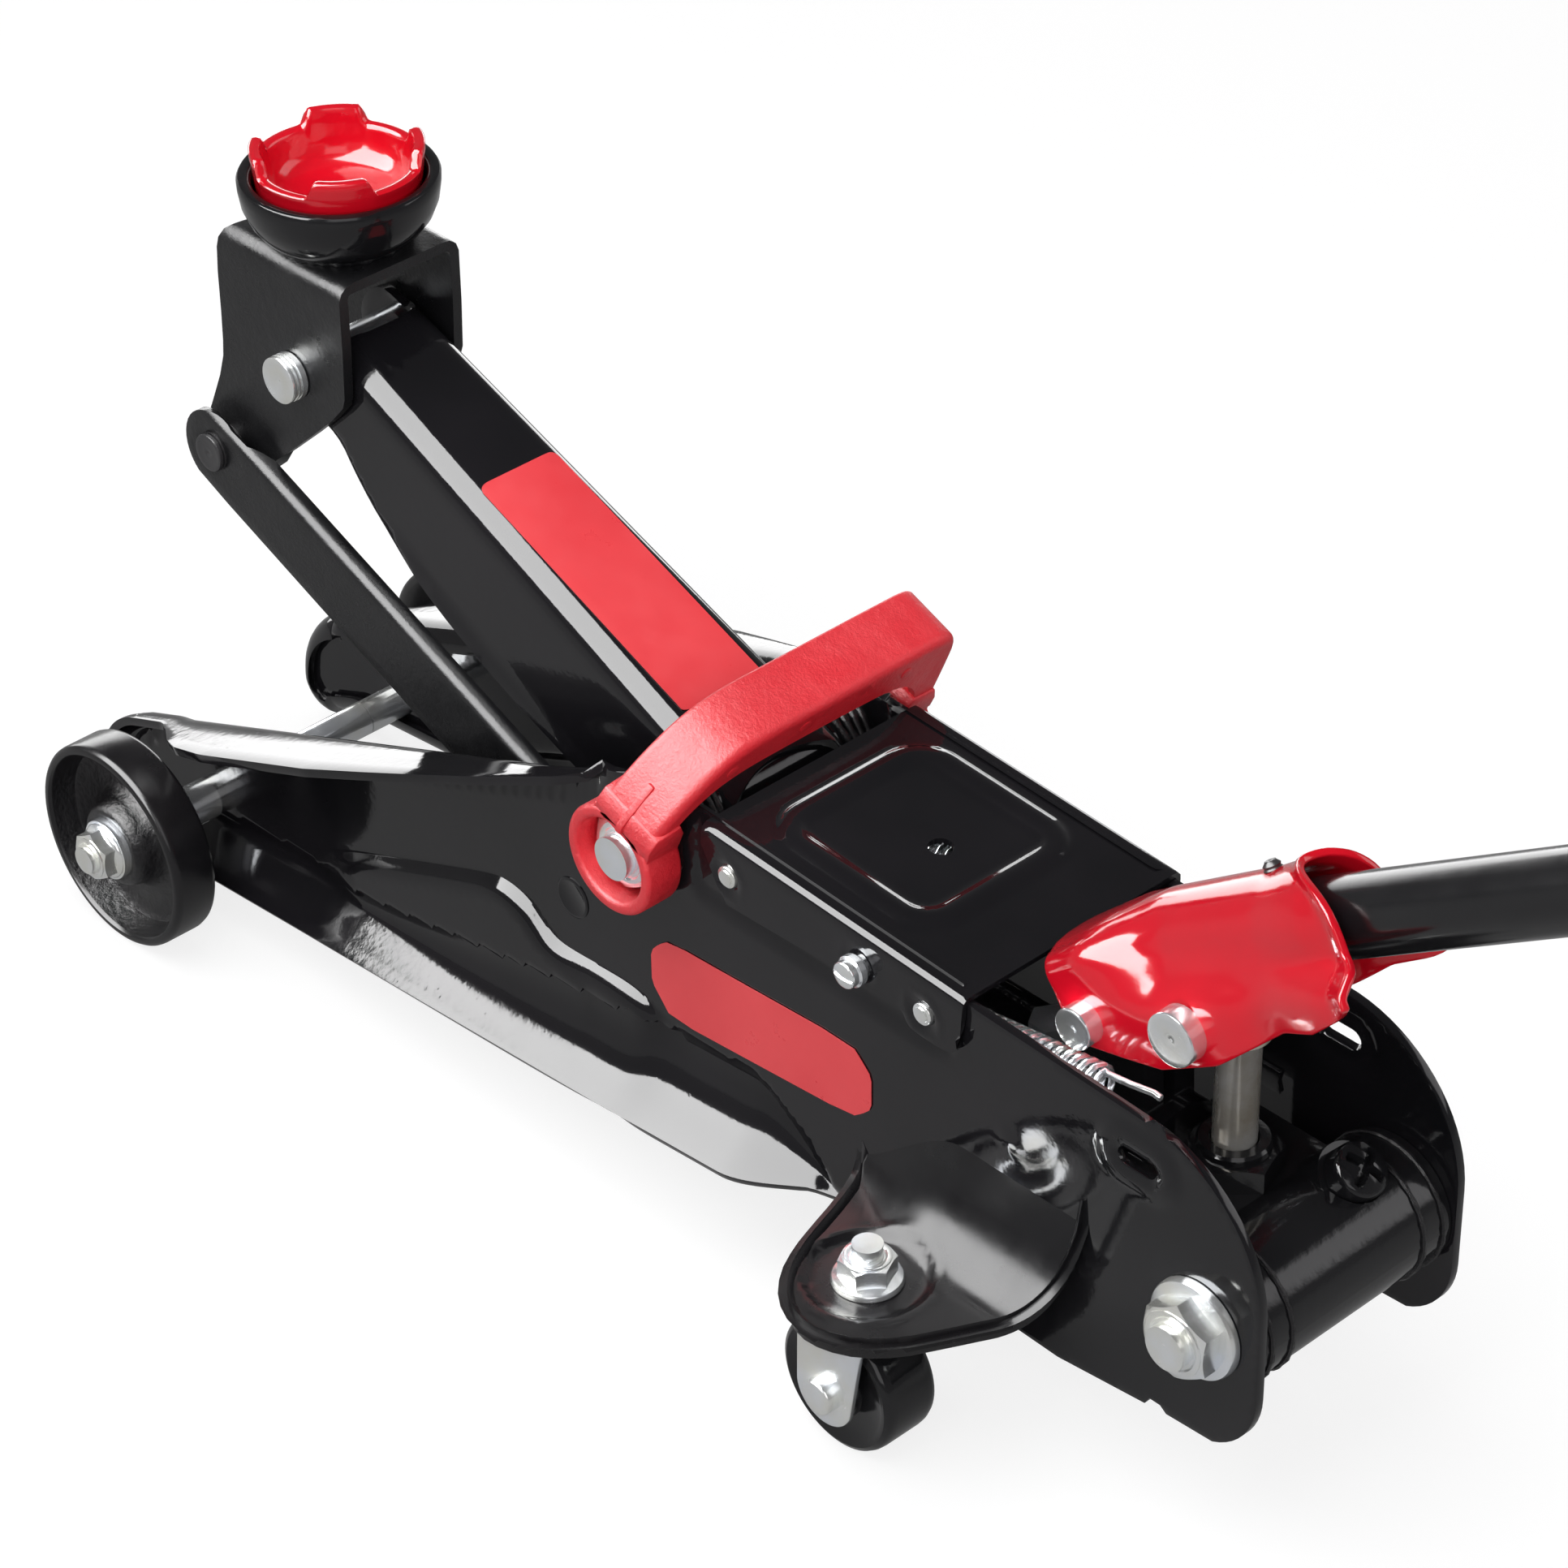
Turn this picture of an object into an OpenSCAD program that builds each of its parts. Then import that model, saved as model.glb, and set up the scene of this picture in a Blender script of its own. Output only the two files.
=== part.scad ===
// Hydraulic trolley jack, saddle half raised and handle in its socket.
// X runs rearward to the handle, Y runs across, Z is up from the floor.
// Inside the modules X starts at the front axle; placed() moves it to the box centre.

/* [Chassis] */
// Distance from the front axle to the rear bolt
wheelbase = 380; // [378:1:384]
// Distance between the outer faces of the side plates
chassis_w = 73; // [72:0.5:74]
// Thickness of the side plates
plate_t = 2.5; // [2:0.25:3]
// Width of the flange along the top front edge
top_flange_w = 20; // [12:1:20]
// Width of the flange along the bottom edge
bottom_flange_w = 13; // [8:1:14]

/* [Front wheels] */
// Radius of the front wheels
wheel_r = 31; // [30:0.5:32]
// Width of the front wheels
wheel_w = 14; // [12:1:14]
// Distance between the outer faces of the front wheels
wheel_track = 144; // [144:1:150]

/* [Casters] */
// Distance of each caster swivel from the centre line
caster_y = 65; // [64:1:66]
// Radius of the caster wheels
caster_r = 19.25; // [19:0.25:19.5]
// Distance from the swivel axis to the caster wheel's axle
caster_trail = 3; // [2:0.5:4]

/* [Lift arm] */
// Length of the lift arm from its pivot to the saddle bracket's pin
arm_len = 168; // [166:1:170]
// Angle of the lift arm above horizontal
arm_angle = 22.7; // [22:0.1:24]
// Outer width of the lift arm
arm_w = 42; // [42:0.5:43]
// Sheet thickness of the lift arm
arm_t = 2.5; // [2:0.25:3]

/* [Saddle] */
// Radius of the saddle cup's rim
cup_r = 27; // [26:0.5:28]
// Height of the lugs above the saddle's rim
lug_h = 4.5; // [3:0.5:5]

/* [Handle] */
// Angle of the handle above horizontal
handle_angle = 32.7; // [31:0.1:34]
// Radius of the handle tube
tube_r = 10; // [9.5:0.25:10]
// Length of the handle beyond the socket's pivot
handle_len = 560; // [500:10:640]

/* [Hidden] */
$fn = 64;

// Clearances
run = 0.05;
gap = 0.3;

// Chassis stations
plate_y = chassis_w / 2;
inner_y = plate_y - plate_t;
nose_x = -46;
nose_r = 28;
chin_r = 12;
nose_c = [nose_x + nose_r, 20.5];
chin_c = [nose_x + chin_r, 20];
top_slope = atan(0.396);
bottom_slope = atan(0.09);
top_flange_end = 172;
bottom_flange_end = 250;
deck_z = 128;
rear_x = wheelbase + 19;
rear_r = 40;
heel_r = 22;
deck_rear_z = 120;
axle_z = wheel_r;
axle_r = 4;
sleeve_r = 5;

// Linkage stations
pivot = [188.5, 112.7];
bracket_at = [pivot[0] - arm_len * cos(arm_angle), pivot[1] + arm_len * sin(arm_angle)];
link_offset = [-30, -34];
link_low = pivot + link_offset;
link_high = bracket_at + link_offset;
shaft_r = 9;
thread_r = 6;
arm_tube_r = 14;
arm_top = 17;
bracket_hw = 20.5;
arm_taper = 4.6;
ear_r = 11;
link_r = 13;
link_t = 3;
link_y = arm_w / 2 + 3;
pin_r = 6;

// Saddle stations
saddle_x = bracket_at[0] - 1;
rim_z = bracket_at[1] + 52;
bracket_top = bracket_at[1] + 34.5;
saddle_r = 23.3;
stem_r = 4.95;
stem_down = 8;

// Hydraulic stations
crank = 38;
ram_z = pivot[1] - crank;
crosshead_r = 6;
ram_r = 9;
ram_play = 0.5;
cylinder_r = 17;
cylinder_x = [252, 344];
rear_bolt_z = 69.5;
trunnion_r = 18;
plunger_x = wheelbase - 23;
plunger_r = 5.6;
gland_z = 84;

// Handle stations
fulcrum = [326, 121.5];
plunger_pin_at = fulcrum + [31, 14];
plunger_pin_r = 5.2;
fulcrum_r = 4.5;
tube_lift = 11.6;
socket_wall = 2.5;
socket_start = 22;
socket_end = 78;
clamp_at = 62;
cheek_y = 20;
joint_at = 300;
grip_len = 120;
grip_r = 13.5;

// Carry handle stations
bail_y = 50;
bail_r = 15.5;
bail_hole_r = 11.6;
bail_lean = 22;
bail_w = [-8, 10.5];

// Caster stations
caster_x = 297.5;
bracket_z = 52;
bracket_t = 3;
tongue_r = 22;
tongue_at = [299, 70];
recess_r = 16;

// The model's box in X, and the shift to its middle
handle_far = fulcrum[0] + handle_len * cos(handle_angle) - tube_lift * sin(handle_angle)
  + grip_r * sin(handle_angle);
mid_x = (nose_x + handle_far) / 2;

// Colours
black = [0.05, 0.05, 0.055];
soft_black = [0.09, 0.09, 0.1];
zinc = [0.75, 0.77, 0.8];
red = [0.8, 0.05, 0.09];
white = [0.92, 0.92, 0.92];

// ---- helpers ----
module placed() {
  translate([-mid_x, 0, 0]) children();
}

module both_sides() {
  children();
  mirror([0, 1, 0]) children();
}

// a cylinder along Y from y0 to y1 at point at
module rod_y(at, r, y0, y1) {
  translate([at[0], y0, at[1]])
    rotate([-90, 0, 0]) cylinder(r = r, h = y1 - y0);
}

// a hexagonal prism along Y, flat to flat width af
module hex_y(at, af, y0, y1) {
  translate([at[0], y0, at[1]])
    rotate([-90, 0, 0]) cylinder(r = af / 2 / cos(30), h = y1 - y0, $fn = 6);
}

// an outline in X and Z, extruded along Y from y0 to y1
module sheet_y(y0, y1) {
  translate([0, y1, 0])
    rotate([90, 0, 0]) linear_extrude(y1 - y0) children();
}

// children placed in the lift arm's own frame: pivot at 0, bracket pin at -arm_len
module in_arm() {
  translate([pivot[0], 0, pivot[1]]) rotate([0, arm_angle, 0]) children();
}

// children placed in the handle's own frame: fulcrum at 0, X along the tube
module in_handle() {
  translate([fulcrum[0], 0, fulcrum[1]]) rotate([0, -handle_angle, 0]) children();
}

function arc(c, r, from, to, n) =
  [for (i = [0:n]) c + r * [cos(from + (to - from) * i / n), sin(from + (to - from) * i / n)]];

// ---- chassis ----
// front edge path, offset inward by d: top line, nose, chin and bottom line
function top_path(d) = concat(
  [[top_flange_end, nose_c[1] + (nose_r - d) / cos(top_slope)
    + (top_flange_end - nose_c[0]) * tan(top_slope)]],
  arc(nose_c, nose_r - d, 90 + top_slope, 180, 16));

function bottom_path(d) = concat(
  arc(chin_c, chin_r - d, 180, 270 + bottom_slope, 10),
  [[bottom_flange_end, chin_c[1] - (chin_r - d) / cos(bottom_slope)
    + (bottom_flange_end - chin_c[0]) * tan(bottom_slope)]]);

function reversed(list) = [for (i = [len(list) - 1:-1:0]) list[i]];

module band(outer, inner) {
  polygon(concat(outer, reversed(inner)));
}

module plate_outline() {
  polygon(concat(
    top_path(0), bottom_path(0),
    [[262, 33], [335, 31.5], [366, 35]],
    arc([rear_x - heel_r, 57], heel_r, -65, 0, 8),
    arc([rear_x - rear_r, deck_rear_z - rear_r], rear_r, 0, 90, 14),
    [[211, deck_z], [185, deck_z + 1]]));
}

module plate_holes() {
  rod_y([0, axle_z], axle_r + gap, -60, 60);
  rod_y(pivot, thread_r + gap / 2, -60, 60);
  rod_y(link_low, pin_r, -60, 60);
  rod_y([wheelbase, rear_bolt_z], thread_r + gap / 2, -60, 60);
  for (x = [-4, 4]) rod_y([359 + x, 107], 3, -60, 60);
  translate([355, -60, 104]) cube([8, 120, 6]);
  for (at = cover_screw_at) rod_y(at, 2.1, -60, 60);
  rod_y(cover_stud_at, 2.9, -60, 60);
}

// the raised field stamped in the lower half of the web
module plate_field() {
  sheet_y(-plate_y - 1.2, -inner_y)
    polygon(concat([[50, 34], [57, 42], [126, 67]],
      arc([128, 58], 10, 90, 40, 4),
      [[150, 59], [178, 59]], arc([180, 49], 10, 80, 0, 4), [[192, 42]]));
}

module side_plate() {
  color(black) difference() {
    union() {
      sheet_y(-plate_y, -inner_y) plate_outline();
      plate_field();
      intersection() {
        sheet_y(-plate_y - top_flange_w, -inner_y) band(top_path(0), top_path(plate_t));
        linear_extrude(140) polygon([[top_flange_end, -inner_y], [top_flange_end, -plate_y],
          [117, -48], [72, -plate_y - top_flange_w], [25, -plate_y - top_flange_w],
          [-10, -47], [nose_x, -46], [nose_x, -inner_y]]);
      }
      intersection() {
        sheet_y(-plate_y - bottom_flange_w, -inner_y) band(bottom_path(0), bottom_path(plate_t));
        linear_extrude(140) polygon([[nose_x, -inner_y], [nose_x, -46], [-20, -49.5],
          [225, -plate_y - bottom_flange_w], [bottom_flange_end, -plate_y - 4],
          [bottom_flange_end, -inner_y]]);
      }
    }
    plate_holes();
  }
}

module left_side_plate() { side_plate(); }
module right_side_plate() { mirror([0, 1, 0]) side_plate(); }

cover_at = [211, 130];
cover_len = 92;
cover_tilt = 3.4;
cover_t = 1.5;
cover_hw = plate_y + gap + cover_t;
cover_screw_at = [[220, 118], [289, 113]];
cover_stud_at = [267, 115.5];

module cover_plate() {
  color(black) difference() {
    translate([cover_at[0], 0, cover_at[1]]) rotate([0, cover_tilt, 0]) union() {
      translate([0, -cover_hw, -cover_t]) cube([cover_len, 2 * cover_hw, cover_t]);
      both_sides() sheet_y(-cover_hw, -cover_hw + cover_t)
        polygon([[0, 0], [cover_len, 0], [cover_len, -13], [86, -19], [76, -19], [71, -14], [0, -21]]);
      translate([10, 0, 0]) difference() {
        bead_block(60, 29, 1.5);
        translate([6, 0, -1]) bead_block(48, 23, 4);
      }
    }
    translate([257, 0, 100]) cylinder(r = 3.3, h = 40);
    for (at = cover_screw_at) rod_y(at, 2.2, -60, 60);
    rod_y(cover_stud_at, 3, -60, 60);
  }
}

// a low block with rounded corners, starting at X = 0 and half as wide as hw
module bead_block(length, hw, h) {
  r = 6;
  translate([r, -hw, 0]) cube([length - 2 * r, 2 * hw, h]);
  translate([0, r - hw, 0]) cube([length, 2 * (hw - r), h]);
  for (x = [r, length - r], y = [r - hw, hw - r]) translate([x, y, 0]) cylinder(r = r, h = h);
}

module cover_screws() {
  color(zinc) both_sides() for (at = cover_screw_at) {
    rod_y(at, 2.1, -cover_hw, -inner_y + 4);
    rod_y(at, 3.6, -cover_hw - 1.8, -cover_hw);
  }
}

module cover_studs() {
  color(zinc) both_sides() {
    rod_y(cover_stud_at, 2.9, -cover_hw, -inner_y + 5);
    rod_y(cover_stud_at, 3.8, -cover_hw - 6, -cover_hw);
  }
}

// ---- front axle and wheels ----
wheel_out = wheel_track / 2;
wheel_in = wheel_out - wheel_w;

module front_axle() {
  color(zinc) rod_y([0, axle_z], axle_r, -wheel_out - 9, wheel_out + 9);
}

module tube_y(at, r_out, r_in, y0, y1) {
  difference() {
    rod_y(at, r_out, y0, y1);
    rod_y(at, r_in, y0 - 1, y1 + 1);
  }
}

module axle_sleeves() {
  color(zinc) {
    tube_y([0, axle_z], sleeve_r, axle_r, -inner_y, 20);
    tube_y([0, axle_z], sleeve_r, axle_r, 20.2, inner_y);
  }
}

module wheel_spacers() {
  color(zinc) both_sides()
    tube_y([0, axle_z], sleeve_r + 1, axle_r, -wheel_in + gap, -plate_y);
}

module front_axle_washers() {
  color(zinc) both_sides()
    tube_y([0, axle_z], 9, axle_r, -wheel_out - 1.5, -wheel_out + 1.2);
}

module front_axle_nuts() {
  color(zinc) both_sides() difference() {
    union() {
      rod_y([0, axle_z], 8.6, -wheel_out - 2.5, -wheel_out - 1.5);
      hex_y([0, axle_z], 15, -wheel_out - 8, -wheel_out - 2.5);
    }
    rod_y([0, axle_z], axle_r, -wheel_out - 9, -wheel_out);
  }
}

// wheel profile: radius against width, dished on the outer face
module front_wheel() {
  color(black) translate([0, -wheel_out, axle_z]) rotate([-90, 0, 0]) rotate_extrude()
    polygon([[axle_r + run, 1.5], [11, 1.5], [12, 3], [15, 4.5], [22, 4], [26, 1], [28.5, 0],
      [wheel_r - 0.8, 0.3], [wheel_r, 1.2], [wheel_r, wheel_w - 1], [wheel_r - 1, wheel_w],
      [14, wheel_w], [12, wheel_w - 1], [axle_r + run, wheel_w - 1]]);
}

module front_wheel_left() { front_wheel(); }
module front_wheel_right() { mirror([0, 1, 0]) front_wheel(); }

// ---- casters ----
module tongue_plan(grow) {
  translate([tongue_at[0], -tongue_at[1]]) circle(r = tongue_r + grow);
  polygon([[268 - grow, -plate_y], [tongue_at[0] - tongue_r - grow, -62],
    [tongue_at[0] - tongue_r - grow, -tongue_at[1]], [tongue_at[0] + tongue_r + grow, -tongue_at[1]],
    [tongue_at[0] + tongue_r + grow, -66], [346 + grow, -plate_y - 10], [346 + grow, -plate_y]]);
}

module caster_bracket() {
  skirt = 4.8;
  color(black) difference() {
    union() {
      translate([0, 0, bracket_z - skirt]) linear_extrude(skirt) tongue_plan(0);
      sheet_y(-plate_y - 2.5, -plate_y)
        polygon([[270, bracket_z - skirt], [346, bracket_z - skirt], [346, 66], [334, 74], [300, 60],
          [270, bracket_z]]);
      translate([338, 0, 0]) rotate([0, 90, 0]) linear_extrude(2.5)
        polygon([[-bracket_z, -plate_y], [-70, -plate_y], [-bracket_z, -plate_y - 16]]);
    }
    translate([0, 0, bracket_z - skirt - 1]) linear_extrude(skirt + 1 - bracket_t) tongue_plan(-2.5);
    translate([caster_x, -caster_y, bracket_z - 1.5]) cylinder(r1 = recess_r - 2, r2 = recess_r, h = 2);
    translate([caster_x, -caster_y, 0]) cylinder(r = 4.05, h = 90);
  }
}

module caster_bracket_left() { caster_bracket(); }
module caster_bracket_right() { mirror([0, 1, 0]) caster_bracket(); }

fork_z = bracket_z - bracket_t - 2.2;
bolt_low_z = 2 * caster_r + 3;

module caster_bolts() {
  color(zinc) both_sides() translate([caster_x, -caster_y, 0]) {
    translate([0, 0, bolt_low_z + 1.4]) cylinder(r = 4, h = 62 - bolt_low_z - 1.4);
    translate([0, 0, bolt_low_z]) cylinder(r = 7, h = 1.5);
    translate([0, 0, fork_z + gap]) cylinder(r = 10, h = bracket_z - bracket_t - fork_z - gap);
  }
}

module caster_nuts() {
  color(zinc) both_sides() translate([caster_x, -caster_y, bracket_z - 1.5]) difference() {
    union() {
      cylinder(r = 9, h = 1.5);
      translate([0, 0, 1.5]) cylinder(r = 13 / 2 / cos(30), h = 6.5, $fn = 6);
    }
    translate([0, 0, -1]) cylinder(r = 4, h = 12);
  }
}

caster_axle_at = [caster_x - caster_trail, caster_r];
fork_hw = 12.5;

module caster_fork() {
  color(zinc) difference() {
    union() {
      translate([caster_x, -caster_y, fork_z - 2]) cylinder(r = 12, h = 2);
      translate([0, 0, fork_z - 2]) linear_extrude(2)
        translate([caster_x - 10, -caster_y - fork_hw]) square([20, 2 * fork_hw]);
      for (y = [-fork_hw, fork_hw - 1.8]) sheet_y(y - caster_y, y - caster_y + 1.8)
        polygon(concat([[caster_x + 10, fork_z], [caster_x - 10, fork_z]],
          arc(caster_axle_at, 7, 170, 340, 8)));
    }
    translate([caster_x, -caster_y, 0]) cylinder(r = 4.3, h = 90);
    rod_y(caster_axle_at, 2.5, -caster_y - 20, -caster_y + 20);
  }
}

module caster_axle() {
  color(zinc) {
    rod_y(caster_axle_at, 2.5, -caster_y - fork_hw - 1, -caster_y + fork_hw + 1);
    for (y = [-fork_hw - 3.2, fork_hw]) rod_y(caster_axle_at, 5, y - caster_y, y - caster_y + 3.2);
  }
}

module caster_wheel() {
  hw = fork_hw - 3;
  color(black) translate([caster_axle_at[0], -caster_y, caster_axle_at[1]]) rotate([-90, 0, 0])
    rotate_extrude() polygon([[2.55, -hw], [8, -hw], [9, 1 - hw], [caster_r - 2, 1 - hw],
      [caster_r, 3 - hw], [caster_r, hw - 3], [caster_r - 2, hw - 1], [9, hw - 1], [8, hw], [2.55, hw]]);
}

module caster_fork_left() { caster_fork(); }
module caster_fork_right() { mirror([0, 1, 0]) caster_fork(); }
module caster_axle_left() { caster_axle(); }
module caster_axle_right() { mirror([0, 1, 0]) caster_axle(); }
module caster_wheel_left() { caster_wheel(); }
module caster_wheel_right() { mirror([0, 1, 0]) caster_wheel(); }

// ---- lift arm ----
arm_hw = arm_w / 2;
arm_front = -arm_len + 26;

module arm_flange_outline() {
  polygon(concat(
    [[0, arm_top], [arm_front, arm_top]],
    arc([-arm_len, 0], 13, 70, 235, 10),
    [[-arm_len + 16, -8], [-arm_len + 42, -23], [-80, -27], [-20, -22]],
    arc([0, 0], 16, -110, 50, 10)));
}

// the arm's tapered plan, drawn in by t on both sides, from u0 to u1
module arm_plan(t, u0, u1) {
  k = arm_taper / arm_len;
  polygon([[u0, -arm_hw - k * u0 + t], [u1, -arm_hw - k * u1 + t],
    [u1, arm_hw + k * u1 - t], [u0, arm_hw + k * u0 - t]]);
}

module lift_arm() {
  color(black) difference() {
    union() {
      in_arm() difference() {
        intersection() {
          sheet_y(-arm_hw - 1, arm_hw + 1) arm_flange_outline();
          translate([0, 0, -40]) linear_extrude(80) arm_plan(0, -arm_len - 20, 20);
        }
        translate([0, 0, -50]) linear_extrude(50 + arm_top - arm_t) arm_plan(arm_t, -arm_len - 30, 30);
      }
      rod_y(pivot, arm_tube_r, -31.5, 31.5);
      both_sides() sheet_y(-13, -9.5) polygon(concat(
        arc(pivot, 12, 0, 180, 8), arc([pivot[0], ram_z], 11, 180, 360, 8)));
      both_sides() sheet_y(-20.5, -18) polygon(concat(
        arc(pivot, 12, 0, 180, 8), arc([pivot[0], spring_front[1]], 7, 180, 360, 8)));
    }
    rod_y(pivot, shaft_r + run, -40, 40);
    in_arm() rod_y([-arm_len, 0], pin_r, -40, 40);
    rod_y([pivot[0], ram_z], crosshead_r, -40, 40);
    rod_y([pivot[0], spring_front[1]], 3, -40, 40);
  }
}

module crosshead_pin() {
  color(zinc) rod_y([pivot[0], ram_z], crosshead_r, -14.5, 14.5);
}

module spring_pins() {
  color(zinc) both_sides() {
    rod_y([pivot[0], spring_front[1]], 3, -29.5, -16);
    rod_y([pivot[0], spring_front[1]], 4.5, -31.5, -29.5);
  }
}

module arm_label() {
  color(red) in_arm() translate([-103.5, -13.7, arm_top + 0.2]) cube([85.5, 27.4, 0.3]);
}

module arm_pivot_shaft() {
  color(zinc) {
    rod_y(pivot, shaft_r, -inner_y + gap, inner_y - gap);
    rod_y(pivot, thread_r, -plate_y - 12.5, plate_y + 12.5);
  }
}

module arm_pivot_nuts() {
  color(zinc) both_sides() difference() {
    hex_y(pivot, 19, -plate_y - 10.5, -plate_y);
    rod_y(pivot, thread_r, -plate_y - 11, -plate_y + 1);
  }
}

// ---- carry handle ----
// outer and inner outline across the jack: Y and height above the pivot
bail_outer = [[-50, 9], [-50, 16], [-45, 25], [-37, 34], [-28, 40], [-18, 42],
  [42, 42], [48, 40], [51, 35], [51, 24], [50, 14], [50, 9]];
bail_inner = [[-45, 9], [-45, 17], [-41, 24], [-34, 31], [-26, 36], [-17, 38],
  [38, 38], [44, 36], [46.5, 31], [46, 20], [45, 14], [45, 9]];
bail_arch = [[-45, 9], [-44, 16], [-40, 22.5], [-32, 28.5], [-24, 31], [-14, 31.5],
  [24, 31.5], [33, 30], [39.5, 25], [43, 16], [43, 9]];

// an outline across the jack, extruded along the strap's width from w0 to w1
module strap(w0, w1) {
  translate([w0, 0, 0]) rotate([90, 0, 90]) linear_extrude(w1 - w0) children();
}

module carry_handle() {
  color(red) translate([pivot[0], 0, pivot[1]]) rotate([0, bail_lean, 0]) difference() {
    union() {
      both_sides() {
        rod_y([0, 0], bail_r, -bail_y, -plate_y - gap);
        sheet_y(-bail_y + 1, -cover_hw - gap) translate([bail_w[0], 9]) square([bail_w[1] - bail_w[0], 8]);
      }
      strap(bail_w[0], bail_w[1]) band(bail_outer, bail_inner);
      strap(bail_w[1] - 3, bail_w[1]) band(bail_outer, bail_arch);
      strap(bail_w[0], bail_w[0] + 2.5) intersection() {
        band(bail_outer, bail_arch);
        translate([-30, 34.5]) square([70, 10]);
      }
    }
    rod_y([0, 0], bail_hole_r, -bail_y - 2, bail_y + 2);
  }
}

// ---- saddle end ----
module saddle_bracket() {
  color(soft_black) difference() {
    union() {
      both_sides() sheet_y(-bracket_hw, -bracket_hw + 3) polygon(concat(
        [[bracket_at[0] + 22, bracket_top], [link_high[0], bracket_top],
          [link_high[0], bracket_at[1] - 6], [link_high[0] - 9, link_high[1] + 8]],
        arc(link_high, ear_r, 145, 300, 10),
        [[bracket_at[0] - 1, bracket_at[1] - 21], [bracket_at[0] + 22, bracket_at[1] + 1]]));
      translate([link_high[0], -bracket_hw, bracket_top - 3])
        cube([bracket_at[0] + 22 - link_high[0], 2 * bracket_hw, 3]);
    }
    rod_y(bracket_at, pin_r + run, -40, 40);
    rod_y(link_high, pin_r - 0.5, -40, 40);
    translate([saddle_x, 0, 0]) cylinder(r = 5, h = 300);
  }
}

module saddle_cup() {
  color(black) translate([saddle_x, 0, bracket_top]) rotate_extrude()
    polygon([[5, 0], [16, 0], [24, 5], [cup_r - 0.5, 12], [cup_r, 17.5], [cup_r - 1, 18.5],
      [cup_r - 3, 18.5], [cup_r - 4, 17], [cup_r - 4.4, 12], [21, 7], [15, 3.5], [5, 3.5]]);
}

module saddle() {
  rim = 22;
  lug_w = 17;
  color(red) translate([saddle_x, 0, bracket_top]) {
    rotate_extrude() polygon([[0, -stem_down], [stem_r, -stem_down], [stem_r, 3.8], [14, 3.8],
      [20, 7.8], [22, 13], [22.4, 18.5], [saddle_r, 20], [saddle_r, rim], [saddle_r - 3.5, rim],
      [18.4, 14.5],
      [14, 11.5], [0, 10.5]]);
    for (turn = [-37:90:233]) rotate([0, 0, turn]) intersection() {
      difference() {
        cylinder(r = saddle_r - 0.3, h = rim + lug_h);
        cylinder(r = saddle_r - 3.2, h = rim + lug_h + 1);
      }
      translate([0, -lug_w / 2, rim - 1]) cube([saddle_r, lug_w, lug_h + 1]);
    }
  }
}

module saddle_clip() {
  color(zinc) translate([saddle_x, 0, bracket_top - 3 - gap - 1.5]) difference() {
    cylinder(r = 8, h = 1.5);
    translate([0, 0, -1]) cylinder(r = stem_r, h = 4);
  }
}

module bracket_pin() {
  color(zinc) {
    rod_y(bracket_at, pin_r, -bracket_hw - 1, bracket_hw + 1);
    for (y = [-bracket_hw - 5.3, bracket_hw + 0.3]) rod_y(bracket_at, pin_r + 0.7, y, y + 5);
  }
}

// ---- parallel links ----
module link() {
  run_len = norm(link_low - link_high);
  tilt = atan2(link_low[1] - link_high[1], link_low[0] - link_high[0]);
  color(soft_black) difference() {
    translate([link_high[0], 0, link_high[1]]) rotate([0, -tilt, 0]) {
      rod_y([0, 0], link_r - 1, -link_y - link_t, -link_y);
      rod_y([run_len, 0], link_r, -link_y - link_t, -link_y);
      translate([0, -link_y - link_t, 1 - link_r]) cube([run_len, link_t, 2 * link_r - 2]);
      translate([22, -link_y - link_t, link_r - 4]) cube([run_len - 40, link_t + 1, 3]);
    }
    rod_y(link_low, pin_r + run, -60, 60);
    rod_y(link_high, pin_r - 0.5, -60, 60);
  }
}

module link_left() { link(); }
module link_right() { mirror([0, 1, 0]) link(); }

module link_upper_pin() {
  pin_end = link_y + link_t;
  color(soft_black) {
    rod_y(link_high, pin_r - 0.5 - run, -pin_end, pin_end);
    for (y = [-pin_end - 2, pin_end]) rod_y(link_high, pin_r - 0.5, y, y + 2);
  }
}

module link_lower_pins() {
  color(soft_black) both_sides() {
    rod_y(link_low, pin_r, -plate_y - 0.2, gap - link_y);
    rod_y(link_low, pin_r + 3, -inner_y, -link_y - link_t - gap);
    rod_y(link_low, pin_r + 2, gap - link_y, gap + 0.8 - link_y);
  }
}

// ---- hydraulic unit ----
module power_unit() {
  color(black) difference() {
    union() {
      rod_y([wheelbase, rear_bolt_z], trunnion_r, -inner_y + gap, inner_y - gap);
      translate([336, -22, 52]) cube([wheelbase - 336, 44, gland_z - 52]);
      both_sides() sheet_y(-9, -2) polygon(concat(
        [[336, gland_z - 2], [306, gland_z - 2]], arc(fulcrum, 8.5, 170, 10, 8)));
      sheet_y(-8, 8) polygon([[306, gland_z], [336, gland_z], [336, 92], [306, 92]]);
      translate([374, 14, 78]) rotate([0, 40, 0]) cylinder(r = 9, h = 12);
    }
    rod_y([wheelbase, rear_bolt_z], thread_r + run, -60, 60);
    rod_y(fulcrum, fulcrum_r + run, -60, 60);
    translate([plunger_x, 0, 56]) cylinder(r = plunger_r + 0.4, h = 60);
    translate([374, 14, 78]) rotate([0, 40, 0]) cylinder(r = 5.05, h = 20);
    translate([374, 14, 78]) rotate([0, 40, 0]) translate([0, 0, 12]) cylinder(r = 7.9, h = 12);
    translate([cylinder_x[0], 0, ram_z]) rotate([0, 90, 0]) cylinder(r = cylinder_r, h = 340 - cylinder_x[0]);
  }
}

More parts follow.
